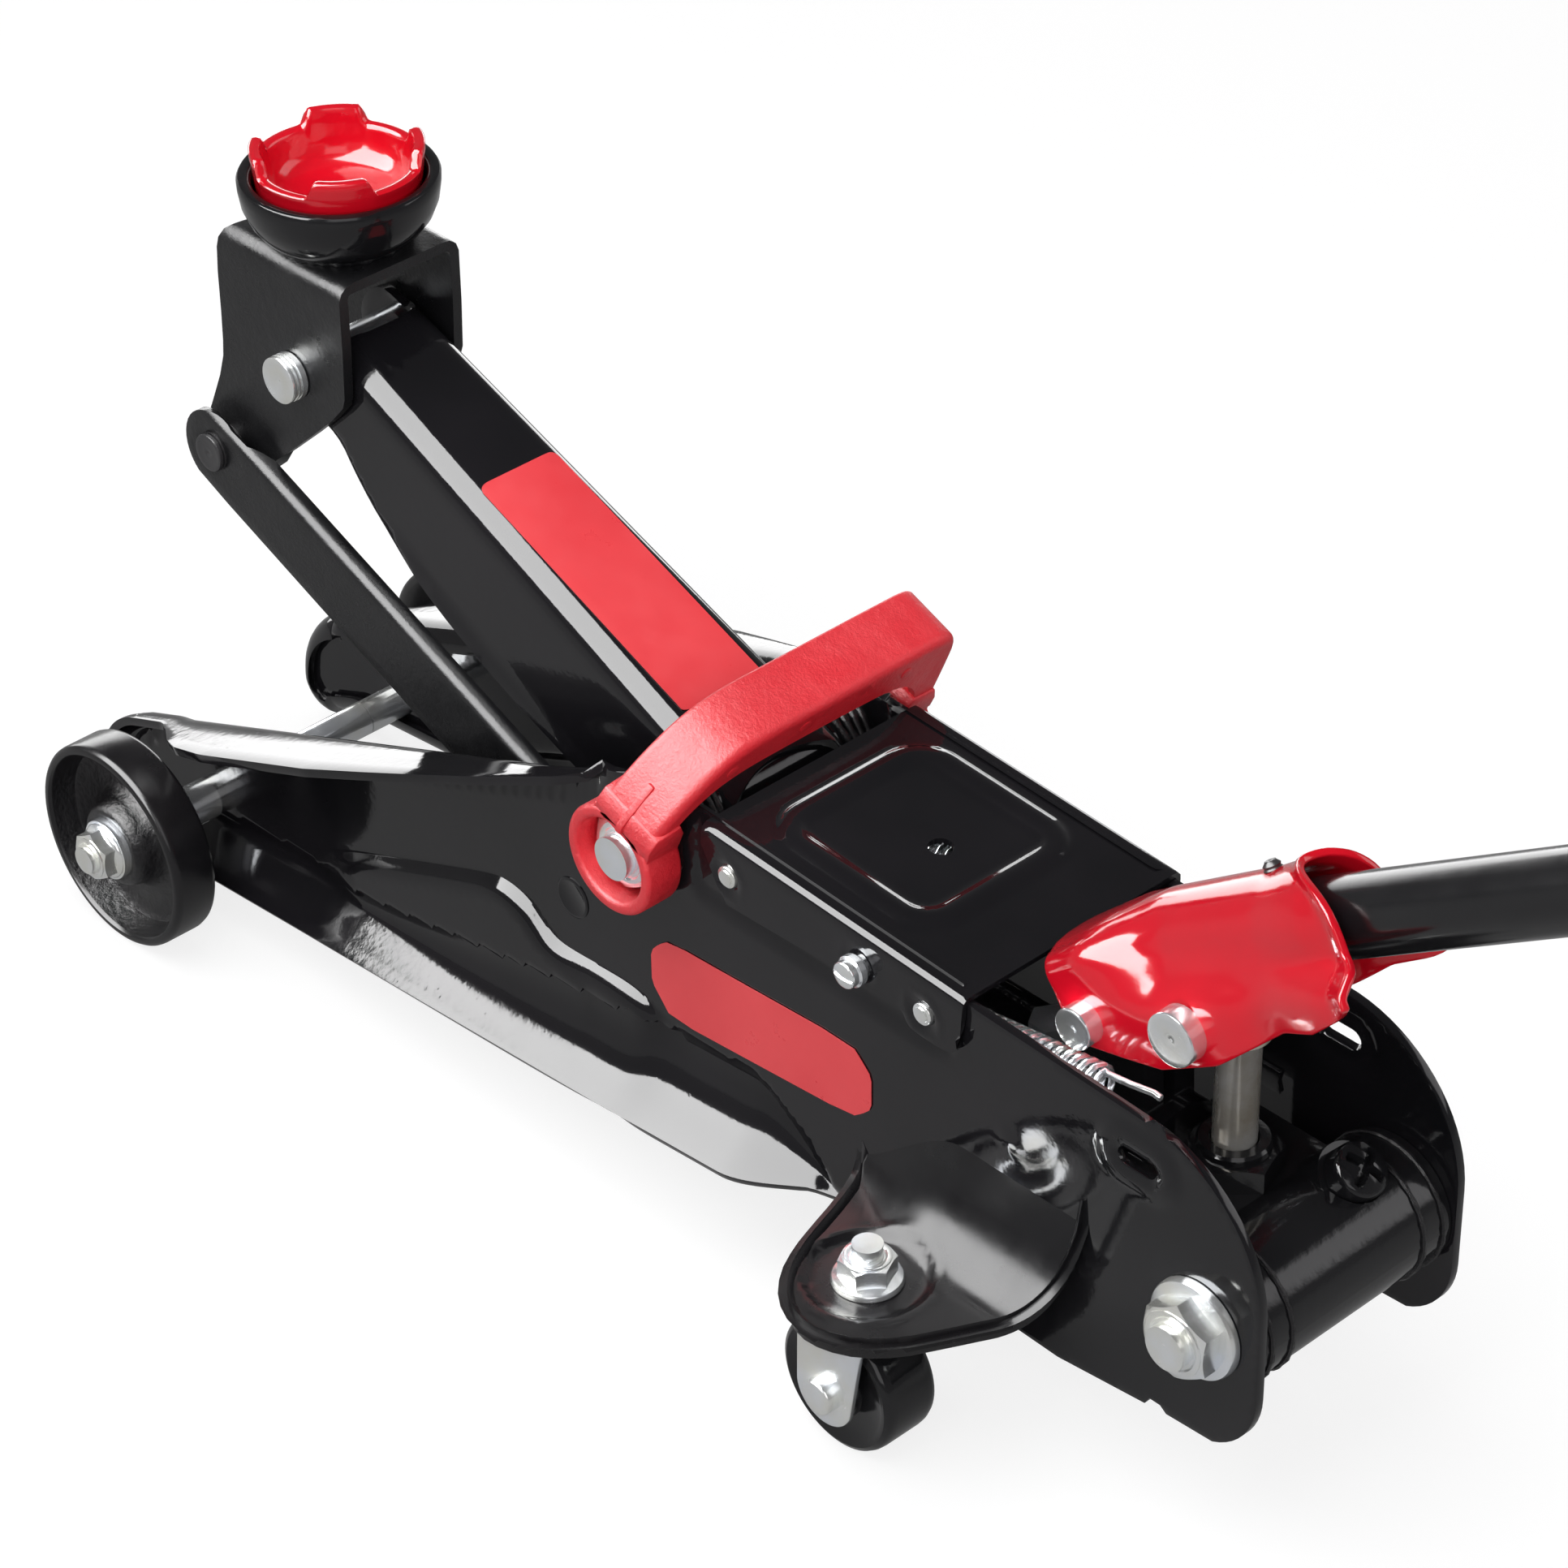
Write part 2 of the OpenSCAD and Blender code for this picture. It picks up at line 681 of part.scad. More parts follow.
module ram_cylinder() {
  color(black) difference() {
    translate([cylinder_x[0], 0, ram_z]) rotate([0, 90, 0]) difference() {
      cylinder(r = cylinder_r, h = 340 - cylinder_x[0]);
      translate([0, 0, -1]) cylinder(r = ram_r + 0.6, h = 82);
      translate([0, 0, -1]) cylinder(r = 13, h = 9);
    }
    translate([296, 0, ram_z + cylinder_r - 1]) cylinder(r = 3, h = 4);
  }
}

module ram_gland() {
  color(soft_black) translate([cylinder_x[0], 0, ram_z]) rotate([0, 90, 0]) difference() {
    union() {
      translate([0, 0, -6]) cylinder(r = 15, h = 6);
      cylinder(r = 13, h = 8);
    }
    translate([0, 0, -7]) cylinder(r = ram_r + run, h = 20);
  }
}

module ram() {
  slot_r = crosshead_r + ram_play;
  color(zinc) difference() {
    union() {
      translate([pivot[0] + 10, 0, ram_z]) rotate([0, 90, 0]) cylinder(r = ram_r, h = 98);
      sheet_y(-8, 8) polygon(concat(
        arc([pivot[0], ram_z], 12, 180, 300, 8), [[pivot[0] + 16, ram_z - 9],
          [pivot[0] + 16, ram_z + 9]], arc([pivot[0], ram_z + 6], 12, 40, 180, 8)));
    }
    rod_y([pivot[0], ram_z - 0.5], slot_r, -20, 20);
    rod_y([pivot[0], ram_z + 6.5], slot_r, -20, 20);
    translate([pivot[0] - slot_r, -20, ram_z - 0.5]) cube([2 * slot_r, 40, 7]);
  }
}

spring_front = [pivot[0], 92];
spring_back = [357, 107];
spring_y = 26.5;

module return_spring() {
  span = spring_back - spring_front;
  tilt = atan2(span[1], span[0]);
  color(zinc) translate([spring_front[0], -spring_y, spring_front[1]]) rotate([0, -tilt, 0]) {
    translate([18, 0, 0]) rotate([0, 90, 0]) cylinder(r = 4.5, h = norm(span) - 36);
    translate([3.2, -0.9, 3.2]) cube([16, 1.8, 1.3]);
    translate([norm(span) - 19, -0.9, 3.2]) cube([18, 1.8, 1.3]);
  }
}

module return_spring_left() { return_spring(); }
module return_spring_right() { mirror([0, 1, 0]) return_spring(); }

module filler_plug() {
  color(zinc) translate([296, 0, ram_z + cylinder_r - 1]) {
    cylinder(r = 3, h = 3);
    translate([0, 0, 1]) cylinder(r = 6, h = 3.5, $fn = 6);
  }
}

module pump_gland_nut() {
  color(soft_black) translate([plunger_x, 0, gland_z]) difference() {
    cylinder(r = 22 / 2 / cos(30), h = 7, $fn = 6);
    translate([0, 0, -1]) cylinder(r = plunger_r + run, h = 20);
  }
}

plunger_top = plunger_pin_at[1] - plunger_pin_r - 1.1;

module pump_plunger() {
  color(zinc) translate([plunger_x, 0, 0]) {
    translate([0, 0, 74]) cylinder(r = plunger_r, h = plunger_top - 79);
    translate([0, 0, plunger_top - 5]) cylinder(r = 8, h = 5);
  }
}

module release_valve() {
  color(zinc) translate([374, 14, 78]) rotate([0, 40, 0]) difference() {
    union() {
      translate([0, 0, 4]) cylinder(r = 5, h = 14);
      translate([0, 0, 12.3]) cylinder(r = 7.5, h = 7.7);
    }
    translate([-10, -1.5, 16.5]) cube([20, 3, 5]);
  }
}

module rear_bolt() {
  color(zinc) rod_y([wheelbase, rear_bolt_z], thread_r, -plate_y - 12, plate_y + 12);
}

module rear_nuts() {
  color(zinc) both_sides() difference() {
    union() {
      rod_y([wheelbase, rear_bolt_z], 13.5, -plate_y - 2.5, -plate_y);
      hex_y([wheelbase, rear_bolt_z], 19, -plate_y - 10.5, -plate_y - 2.4);
    }
    rod_y([wheelbase, rear_bolt_z], thread_r, -plate_y - 12, -plate_y + 1);
  }
}

// ---- handle ----
module handle_socket() {
  color(red) difference() {
    in_handle() union() {
      translate([socket_start, 0, tube_lift]) rotate([0, 90, 0])
        cylinder(r = tube_r + socket_wall, h = socket_end - socket_start);
      both_sides() sheet_y(-cheek_y, -cheek_y + socket_wall) polygon([
        [-9, -3], [-9, 12], [6, 15], [24, 20], [62, 20], [95, 6], [95, -2], [79, -8], [67, -8],
        [40, -14], [20, -14], [0, -8], [-6, -6]]);
      translate([-9, -cheek_y, 12 - socket_wall]) cube([14, 2 * cheek_y, socket_wall]);
      translate([-9, -cheek_y, 12 - socket_wall]) rotate([0, -13, 0])
        cube([33, 2 * cheek_y, socket_wall]);
      translate([20, -cheek_y, 20 - socket_wall]) cube([42, 2 * cheek_y, socket_wall]);
    }
    in_handle() translate([socket_start - 1, 0, tube_lift]) rotate([0, 90, 0])
      cylinder(r = tube_r + run, h = socket_end);
    rod_y(fulcrum, fulcrum_r, -60, 60);
    rod_y(plunger_pin_at, plunger_pin_r, -60, 60);
    in_handle() translate([clamp_at, 0, tube_lift]) cylinder(r = 3, h = 30);
  }
}

module headed_pin(at, r, head_r) {
  color(zinc) {
    rod_y(at, r, -cheek_y - 1, cheek_y + 1);
    for (y = [-cheek_y - 5, cheek_y]) rod_y(at, head_r, y, y + 5);
  }
}

module fulcrum_pin() { headed_pin(fulcrum, fulcrum_r, 5.6); }
module plunger_pin() { headed_pin(plunger_pin_at, plunger_pin_r, 7.2); }

module clamp_screw() {
  color(zinc) in_handle() translate([clamp_at, 0, tube_lift + tube_r]) {
    cylinder(r = 3, h = 5);
    translate([0, 0, 2.6]) cylinder(r = 4.5, h = 4, $fn = 6);
  }
}

module handle_tube(x0, x1, r_out, r_in) {
  in_handle() translate([x0, 0, tube_lift]) rotate([0, 90, 0]) difference() {
    cylinder(r = r_out, h = x1 - x0);
    translate([0, 0, -1]) cylinder(r = r_in, h = x1 - x0 + 2);
  }
}

module joint_hole() {
  in_handle() translate([joint_at - 18, 0, tube_lift]) cylinder(r = 3.2, h = 30);
}

module handle_lower_tube() {
  color(soft_black) difference() {
    handle_tube(socket_start, joint_at, tube_r, tube_r - 1.5);
    joint_hole();
  }
}

module handle_upper_tube() {
  color(soft_black) {
    handle_tube(joint_at, handle_len - 4, tube_r, tube_r - 1.5);
    difference() {
      handle_tube(joint_at - 40, joint_at + 5, tube_r - 1.5 - run, tube_r - 3);
      joint_hole();
    }
    handle_tube(joint_at, joint_at + 5, tube_r - 1, tube_r - 3);
  }
}

module handle_grip() {
  color(soft_black) in_handle() translate([handle_len - grip_len, 0, tube_lift])
    rotate([0, 90, 0]) difference() {
      cylinder(r = grip_r, h = grip_len);
      translate([0, 0, -1]) cylinder(r = tube_r, h = grip_len - 3);
    }
}

module handle_joint_screw() {
  color(zinc) in_handle() translate([joint_at - 18, 0, tube_lift + tube_r - 5])
    cylinder(r = 3.2, h = 7.5);
}

module side_labels() {
  color(red) both_sides() sheet_y(-plate_y - 0.5, -plate_y - 0.2)
    polygon([[189, 68], [189, 78], [196, 84.5], [263, 88.5], [270, 82], [270, 72], [263, 66], [196, 60]]);
}

placed() left_side_plate();
placed() right_side_plate();
placed() cover_plate();
placed() cover_screws();
placed() cover_studs();
placed() front_axle();
placed() axle_sleeves();
placed() wheel_spacers();
placed() front_axle_washers();
placed() front_axle_nuts();
placed() front_wheel_left();
placed() front_wheel_right();
placed() caster_bracket_left();
placed() caster_bracket_right();
placed() caster_bolts();
placed() caster_nuts();
placed() caster_fork_left();
placed() caster_fork_right();
placed() caster_axle_left();
placed() caster_axle_right();
placed() caster_wheel_left();
placed() caster_wheel_right();
placed() lift_arm();
placed() crosshead_pin();
placed() spring_pins();
placed() arm_label();
placed() arm_pivot_shaft();
placed() arm_pivot_nuts();
placed() carry_handle();
placed() saddle_bracket();
placed() saddle_cup();
placed() saddle();
placed() saddle_clip();
placed() bracket_pin();
placed() link_left();
placed() link_right();
placed() link_upper_pin();
placed() link_lower_pins();
placed() power_unit();
placed() ram_cylinder();
placed() ram_gland();
placed() ram();
placed() return_spring_left();
placed() return_spring_right();
placed() filler_plug();
placed() pump_gland_nut();
placed() pump_plunger();
placed() release_valve();
placed() rear_bolt();
placed() rear_nuts();
placed() handle_socket();
placed() fulcrum_pin();
placed() plunger_pin();
placed() clamp_screw();
placed() handle_lower_tube();
placed() handle_upper_tube();
placed() handle_grip();
placed() handle_joint_screw();
placed() side_labels();
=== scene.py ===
import bpy, bmesh, math
import numpy as np
from mathutils import Matrix, Vector
from mathutils.geometry import delaunay_2d_cdt


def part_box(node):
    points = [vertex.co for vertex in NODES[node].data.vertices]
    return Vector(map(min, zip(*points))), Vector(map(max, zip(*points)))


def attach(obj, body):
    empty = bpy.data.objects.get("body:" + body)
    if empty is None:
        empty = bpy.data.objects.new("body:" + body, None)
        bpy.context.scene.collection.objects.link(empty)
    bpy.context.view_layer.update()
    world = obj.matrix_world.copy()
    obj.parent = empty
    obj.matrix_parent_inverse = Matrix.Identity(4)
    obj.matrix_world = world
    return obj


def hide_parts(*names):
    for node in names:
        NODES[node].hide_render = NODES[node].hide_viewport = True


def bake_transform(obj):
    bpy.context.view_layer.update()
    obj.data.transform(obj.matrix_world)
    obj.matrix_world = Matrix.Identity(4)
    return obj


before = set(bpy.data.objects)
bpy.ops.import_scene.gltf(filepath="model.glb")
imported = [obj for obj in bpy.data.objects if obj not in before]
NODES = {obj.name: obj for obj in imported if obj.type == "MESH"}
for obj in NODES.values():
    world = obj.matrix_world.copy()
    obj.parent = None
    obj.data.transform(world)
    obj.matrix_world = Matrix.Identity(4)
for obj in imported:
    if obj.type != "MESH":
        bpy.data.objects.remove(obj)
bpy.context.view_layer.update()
scene = bpy.context.scene

# ---- places, all in mm from the front axle; to_m() turns them into the row frame ----
axle_lo, axle_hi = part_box("front_axle")
AXLE_X = (axle_lo.x + axle_hi.x) / 2


def to_m(p):
    return Vector((AXLE_X + p[0] / 1000, p[1] / 1000, p[2] / 1000))


def side_view(node):
    """The middle of a CAD node's box, as (x, z)."""
    lo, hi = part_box(node)
    c = (lo + hi) / 2
    return (c.x - AXLE_X) * 1000, c.z * 1000


def rad(a):
    return math.radians(a)


PIVOT = side_view("arm_pivot_shaft")
PIN = side_view("bracket_pin")
LOW = side_view("link_lower_pins")
HIGH = side_view("link_upper_pin")
FULCRUM = side_view("fulcrum_pin")
PUSH = side_view("plunger_pin")
REAR = side_view("rear_bolt")
FRONT_AXLE = (0, side_view("front_wheel_left")[1])
CASTER_AXLE = side_view("caster_axle_left")
SWIVEL = (side_view("caster_nuts")[0], 65.0)  # x, and distance from the middle
BRACKET_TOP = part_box("saddle_bracket")[1].z * 1000
ARM = math.hypot(PIVOT[0] - PIN[0], PIVOT[1] - PIN[1])
ARM_TILT = math.asin((PIN[1] - PIVOT[1]) / ARM)
HANDLE_TILT = rad(32.7)
SHEET = 2.5
WEB_IN = 34.0  # inner face of the side plates, from the middle
WEB_OUT = WEB_IN + SHEET


# ---- mesh helpers: a part is (vertices in mm, faces) ----
def modified(me, name, thick, offset, even, bevel, segs, bevel_angle):
    """The mesh with its sheet thickness and its edge rounding applied."""
    tmp = bpy.data.objects.new(name + "_tmp", me)
    scene.collection.objects.link(tmp)
    if thick:
        m = tmp.modifiers.new("s", "SOLIDIFY")
        m.thickness = thick / 1000
        m.offset = offset
        m.use_even_offset = even
        m.use_quality_normals = True
    if bevel:
        m = tmp.modifiers.new("b", "BEVEL")
        m.width = bevel / 1000
        m.segments = segs
        m.limit_method = "ANGLE"
        m.angle_limit = rad(bevel_angle)
        m.use_clamp_overlap = True
    bpy.context.view_layer.update()
    new = bpy.data.meshes.new_from_object(tmp.evaluated_get(bpy.context.evaluated_depsgraph_get()))
    bpy.data.objects.remove(tmp)
    bpy.data.meshes.remove(me)
    new.name = name
    return new


def build(name, part, mat, body, node="", sharp=40, thick=0, offset=-1, bevel=0, segs=2, bevel_angle=50,
          weld=0.001, even=False):
    """A piece that rides a body, unless body is None, and stands for a CAD node if one is named."""
    me = bpy.data.meshes.new(name)
    me.from_pydata([to_m(v) for v in part[0]], [], [tuple(f) for f in part[1]])
    me.update()
    bm = bmesh.new()
    bm.from_mesh(me)
    bmesh.ops.remove_doubles(bm, verts=bm.verts, dist=weld / 1000)
    bmesh.ops.dissolve_degenerate(bm, edges=bm.edges, dist=1e-7)
    bm.to_mesh(me)
    bm.free()
    if thick or bevel:
        me = modified(me, name, thick, offset, even, bevel, segs, bevel_angle)
    me.polygons.foreach_set("use_smooth", [True] * len(me.polygons))
    me.set_sharp_from_angle(angle=rad(sharp))
    me.materials.clear()
    me.materials.append(mat)
    ob = bpy.data.objects.new(name, me)
    scene.collection.objects.link(ob)
    if body:
        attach(ob, body)
    if node:
        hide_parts(node)
    return ob


def join(parts):
    """One part from several."""
    verts, faces = [], []
    for v, f in parts:
        n = len(verts)
        verts += [tuple(p) for p in v]
        faces += [tuple(i + n for i in q) for q in f]
    return verts, faces


def flip(part):
    return part[0], [tuple(reversed(f)) for f in part[1]]


def mirrored(part):
    return [(x, -y, z) for x, y, z in part[0]], [tuple(reversed(f)) for f in part[1]]


SIDES = (("left", lambda part: part), ("right", mirrored))


def both(name, part, *args, **kw):
    """One piece that holds the near part and its mirror on the far side."""
    return build(name, join([part, mirrored(part)]), *args, **kw)


def outward(part, ref):
    """Turns the faces so that together they look towards ref."""
    v = np.array(part[0], float)
    total = np.zeros(3)
    for f in part[1]:
        total += np.cross(v[f[1]] - v[f[0]], v[f[2]] - v[f[0]])
    return part if total @ np.array(ref, float) > 0 else flip(part)


def turn(n, closed=False):
    """n equal steps of angle round a circle, with the last one repeated if closed."""
    return [2 * math.pi * i / n for i in range(n + closed)]


def circle(at, r, n):
    return [(at[0] + r * math.cos(w), at[1] + r * math.sin(w)) for w in turn(n)]


def arc(cx, cz, r, a0, a1, n):
    """Points from a0 to a1 degrees round (cx, cz)."""
    return [(cx + r * math.cos(rad(a0 + (a1 - a0) * i / n)), cz + r * math.sin(rad(a0 + (a1 - a0) * i / n)))
            for i in range(n + 1)]


def grid(rows, closed=False):
    """Quads between rows of points; closed joins each row's ends."""
    n = len(rows[0])
    faces = []
    for j in range(len(rows) - 1):
        for i in range(n if closed else n - 1):
            i2 = (i + 1) % n
            faces.append((j * n + i, j * n + i2, (j + 1) * n + i2, (j + 1) * n + i))
    return [p for r in rows for p in r], faces


def bar(rows, first=True, last=True):
    """Closed rows of points joined up, with a face over either end."""
    v, f = grid(rows, closed=True)
    n = len(rows[0])
    if first:
        f.append(tuple(reversed(range(n))))
    if last:
        f.append(tuple(range(len(v) - n, len(v))))
    return v, f


def lathe(profile, segs=64, cap=True):
    """Turns (r, h) round +Z, open or closed at the ends."""
    rows = [[(r * math.cos(w), r * math.sin(w), h) for w in turn(segs)] for r, h in profile]
    return bar(rows, cap and profile[0][0] > 1e-6, cap and profile[-1][0] > 1e-6)


def slab(front, back):
    """A solid between two outlines that have the same number of points."""
    n = len(front)
    sides = [(i, n + i, n + (i + 1) % n, (i + 1) % n) for i in range(n)]
    return list(front) + list(back), [tuple(range(n)), tuple(reversed(range(n, 2 * n)))] + sides


def along_y(part, at, y, sign=-1):
    """Stands a part made on +Z so that its Z points along sign*Y, with its base at y."""
    x0, z0 = at
    v = [(x0 + p[0], y + sign * p[2], z0 + (p[1] if sign < 0 else -p[1])) for p in part[0]]
    return v, part[1]


def stand(part, at, spin=0):
    """Puts a part made on +Z at a place, turned about its own axis."""
    c, s = math.cos(spin), math.sin(spin)
    return [(at[0] + c * x - s * y, at[1] + s * x + c * y, at[2] + z) for x, y, z in part[0]], part[1]


def aim(part, at, direction, spin=0):
    """Moves a part made on +Z so that its Z points along direction from at."""
    q = Vector((0, 0, 1)).rotation_difference(Vector(direction).normalized())
    r = Matrix.Rotation(spin, 3, "Z")
    return [tuple(Vector(at) + q @ (r @ Vector(p))) for p in part[0]], part[1]


def tube(path, r, segs=8):
    """A round bar along a list of points; r is one radius or one for each point."""
    pts = [Vector(p) for p in path]
    rows = []
    up = Vector((0.31, 0.87, 0.38)).normalized()
    for i, p in enumerate(pts):
        t = (pts[min(i + 1, len(pts) - 1)] - pts[max(i - 1, 0)]).normalized()
        a = t.cross(up).normalized()
        up = a.cross(t).normalized()
        rr = r[i] if isinstance(r, list) else r
        rows.append([tuple(p + (a * math.cos(w) + up * math.sin(w)) * rr) for w in turn(segs)])
    return bar(rows)


# ---- fasteners, made on +Z ----
def hex_prism(af, z0, z1):
    """A hexagon af across its flats, with the rounded corners that a nut's chamfer leaves at z1."""
    n = 48
    foot, crest = [], []
    for a in turn(n):
        r = af / 2 / math.cos((a + math.pi / 6) % (math.pi / 3) - math.pi / 6)
        drop = max(0, (r - af / 2 * 0.985)) * 0.62
        foot.append((r * math.cos(a), r * math.sin(a), z0))
        crest.append((r * math.cos(a), r * math.sin(a), z1 - drop))
    return bar([foot, crest, [(x, y, z1) for x, y in circle((0, 0), af / 2 * 0.94, n)]])


def nut(af, z0, z1, hole_r, flange_r=0, flange_t=0):
    """A chamfered nut with a countersunk mouth, and a flange if asked."""
    parts = []
    if flange_r:
        parts.append(lathe([(af / 2 * 0.9, z0), (flange_r - 0.3, z0), (flange_r, z0 + 0.3),
                            (flange_r, z0 + flange_t * 0.6), (flange_r - 0.4, z0 + flange_t),
                            (af / 2, z0 + flange_t + 0.8)], 64))
    parts.append(hex_prism(af, z0 + flange_t * 0.5, z1 - 0.5))
    mouth = hole_r + 0.9
    parts.append(lathe([(af * 0.47, z1 - 0.7), (af * 0.465, z1 - 0.1), (af * 0.45, z1), (mouth + 0.2, z1),
                        (mouth, z1 - 0.1), (hole_r, z1 - 0.9), (hole_r - 0.7, z1 - 0.95)], 48, cap=False))
    return join(parts)


def bolt_end(r, z0, z1, pitch=1.5, depth=0.55):
    """The threaded end of a bolt with a domed tip."""
    prof = [(r - depth, z0)]
    z = z0
    while z + pitch < z1 - 1.2:
        prof += [(r, z + pitch * 0.35), (r, z + pitch * 0.5), (r - depth, z + pitch * 0.9)]
        z += pitch
    prof += [(r - 0.1, z1 - 1.1), (r - 0.9, z1 - 0.25), (r * 0.6, z1), (r * 0.45, z1 - 0.02),
             (r * 0.2, z1 - 0.25), (0.0001, z1 - 0.3)]
    return lathe(prof, 48)


def bolted(the_nut, the_bolt, at, y):
    """A nut and its bolt's end, standing out of the near side at y."""
    return join([along_y(the_nut, at, y), along_y(the_bolt, at, y)])


def round_screw(r, h, slot_w, cross=False):
    """A domed screw head from 0 to h, with a driver's slot or cross pressed into it."""
    vs, fs = fill(circle((0, 0), r * 0.93, 48), step=r / 14)
    out = []
    for x, y in vs:
        d = math.hypot(x, y)
        dome = h - 0.9 * (d / r) ** 2 * (h * 0.3)
        across = min(abs(x), abs(y)) if cross else abs(y)
        cut = smooth((slot_w - across) / 0.35)
        if cross:
            cut *= smooth((r * 0.72 - max(abs(x), abs(y))) / 0.5)
        else:
            cut *= smooth((r * 0.9 - abs(x)) / 0.4)
        out.append((x, y, dome - float(cut) * h * 0.38))
    side = lathe([(r, 0), (r, h * 0.55), (r * 0.985, h * 0.66), (r * 0.93, h - 0.9 * 0.865 * h * 0.3)], 48,
                 cap=False)
    return join([(out, fs), side])


def pin(at, r, end, head, grooves, face, dish=0.15):
    """A pin through both sides; its heads start at |y| = face and end at |y| = end."""
    prof = [(r, face - 0.1), (head, face)]
    z = end - 0.7 - 1.3 * grooves
    prof.append((head, z))
    for _ in range(grooves):
        prof += [(head - 0.7, z + 0.25), (head - 0.7, z + 0.6), (head, z + 0.85), (head, z + 1.25)]
        z += 1.3
    prof += [(head, end - 0.45), (head - 0.15, end - 0.12), (head - 0.5, end), (head * 0.75, end - dish),
             (head * 0.35, end - dish * 1.1), (0.9, end - dish), (0.4, end - dish - 0.25),
             (0.001, end - dish - 0.3)]
    side = along_y(lathe(prof, 56), at, 0)
    rod = along_y(lathe([(r, -face - 0.5), (r, face + 0.5)], 40), at, 0)
    return join([side, mirrored(side), rod])


# ---- outlines and relief in the plane ----
def dense(path, step, closed=True):
    """The path with points about every step mm."""
    out = []
    n = len(path)
    for i in range(n if closed else n - 1):
        a, b = path[i], path[(i + 1) % n]
        k = max(1, int(math.dist(a, b) / step + 0.5))
        out += [tuple(a[c] + (b[c] - a[c]) * j / k for c in range(len(a))) for j in range(k)]
    if not closed:
        out.append(tuple(path[-1]))
    return out


def rounded(path, times=2, closed=True):
    """Cuts the corners of an outline, so that it bends smoothly."""
    p = [tuple(q) for q in path]
    for _ in range(times):
        out = [] if closed else [p[0]]
        for i in range(len(p) if closed else len(p) - 1):
            a, b = p[i], p[(i + 1) % len(p)]
            out.append(tuple(x * 0.75 + y * 0.25 for x, y in zip(a, b)))
            out.append(tuple(x * 0.25 + y * 0.75 for x, y in zip(a, b)))
        if not closed:
            out.append(p[-1])
        p = out
    return p


def shifted(path, d):
    """An open path moved sideways by d."""
    p = np.array(path, float)
    t = np.gradient(p, axis=0)
    t /= np.hypot(*t.T)[:, None]
    return [tuple(q) for q in p + d * np.stack([-t[:, 1], t[:, 0]], 1)]


def resample(path, n):
    """n points at equal distances along a path."""
    p = np.array(path, float)
    d = np.concatenate([[0], np.cumsum(np.hypot(*np.diff(p, axis=0).T))])
    t = np.linspace(0, d[-1], n)
    return np.stack([np.interp(t, d, p[:, 0]), np.interp(t, d, p[:, 1])], 1)


def table(x, rows):
    """The value at x on straight runs between (x, value) rows."""
    return float(np.interp(x, [r[0] for r in rows], [r[1] for r in rows]))


def smooth(t):
    """An even step from 0 to 1 as t goes from 0 to 1."""
    t = np.clip(t, 0, 1)
    return t * t * (3 - 2 * t)


def inside(pts, poly):
    """True for each point inside the closed outline."""
    x, y = pts[:, 0], pts[:, 1]
    hit = np.zeros(len(pts), bool)
    p = np.asarray(poly)[:, :2]
    q = np.roll(p, -1, axis=0)
    for (x1, y1), (x2, y2) in zip(p, q):
        if y1 == y2:
            continue
        c = (y1 > y) != (y2 > y)
        hit ^= c & (x < (x2 - x1) * (y - y1) / (y2 - y1) + x1)
    return hit


def edge_dist(pts, poly, closed=True):
    """Distance from each point to an outline."""
    p = np.asarray(poly, float)[:, :2]
    q = np.roll(p, -1, axis=0) if closed else p[1:]
    p = p if closed else p[:-1]
    best = np.full(len(pts), 1e9)
    for a, b in zip(p, q):
        d = b - a
        t = np.clip(((pts - a) @ d) / max(d @ d, 1e-9), 0, 1)
        best = np.minimum(best, np.hypot(*(pts - a - t[:, None] * d).T))
    return best


def signed(pts, poly):
    """Distance from each point to an outline, below zero outside it."""
    pts = np.asarray(pts, float)
    d = edge_dist(pts, poly)
    return np.where(inside(pts, poly), d, -d)


def fill(outer, holes=(), step=2.5, rows=None, lines=()):
    """Triangles over an outline with holes, with points every step mm inside.
    The outline's own points come first. rows sets the second coordinate of the inner points, and lines
    are open paths that the triangles follow."""
    loops = [list(outer)] + [list(h) for h in holes]
    verts, edges = [], []
    for lp in loops:
        n = len(verts)
        verts += [(float(a[0]), float(a[1])) for a in lp]
        edges += [(n + i, n + (i + 1) % len(lp)) for i in range(len(lp))]

    def clear(pts, gap):
        ok = inside(pts, loops[0]) & (edge_dist(pts, loops[0]) > gap)
        for h in loops[1:]:
            ok &= ~inside(pts, h) & (edge_dist(pts, h) > gap)
        return ok

    arr = np.array(verts)
    lo, hi = arr.min(0), arr.max(0)
    xs = np.arange(lo[0] + step * 0.37, hi[0], step)
    ys = np.arange(lo[1] + step * 0.41, hi[1], step) if rows is None else np.array(rows, float)
    gx, gy = np.meshgrid(xs, ys)
    if rows is None:
        gx[1::2] += step / 2
    pts = np.stack([gx.ravel(), gy.ravel()], 1)
    ok = clear(pts, step * 0.45)
    for ln in lines:
        ln = np.array(dense(ln, step, closed=False), float)
        ok &= edge_dist(pts, ln, closed=False) > step * 0.5
        last = None
        for q, good in zip(ln, clear(ln, step * 0.4)):
            if good:
                verts.append((float(q[0]), float(q[1])))
                if last is not None:
                    edges.append((last, len(verts) - 1))
            last = len(verts) - 1 if good else None
    verts += [(float(a), float(b)) for a, b in pts[ok]]
    res = delaunay_2d_cdt([Vector(v) for v in verts], edges, [], 0, 1e-4)
    out = np.array([tuple(v) for v in res[0]])
    tri = np.array([f for f in res[2]])
    cen = out[tri].mean(1)
    keep = inside(cen, loops[0])
    for h in loops[1:]:
        keep &= ~inside(cen, h)
    return [tuple(v) for v in out], [tuple(int(i) for i in f) for f in tri[keep]]


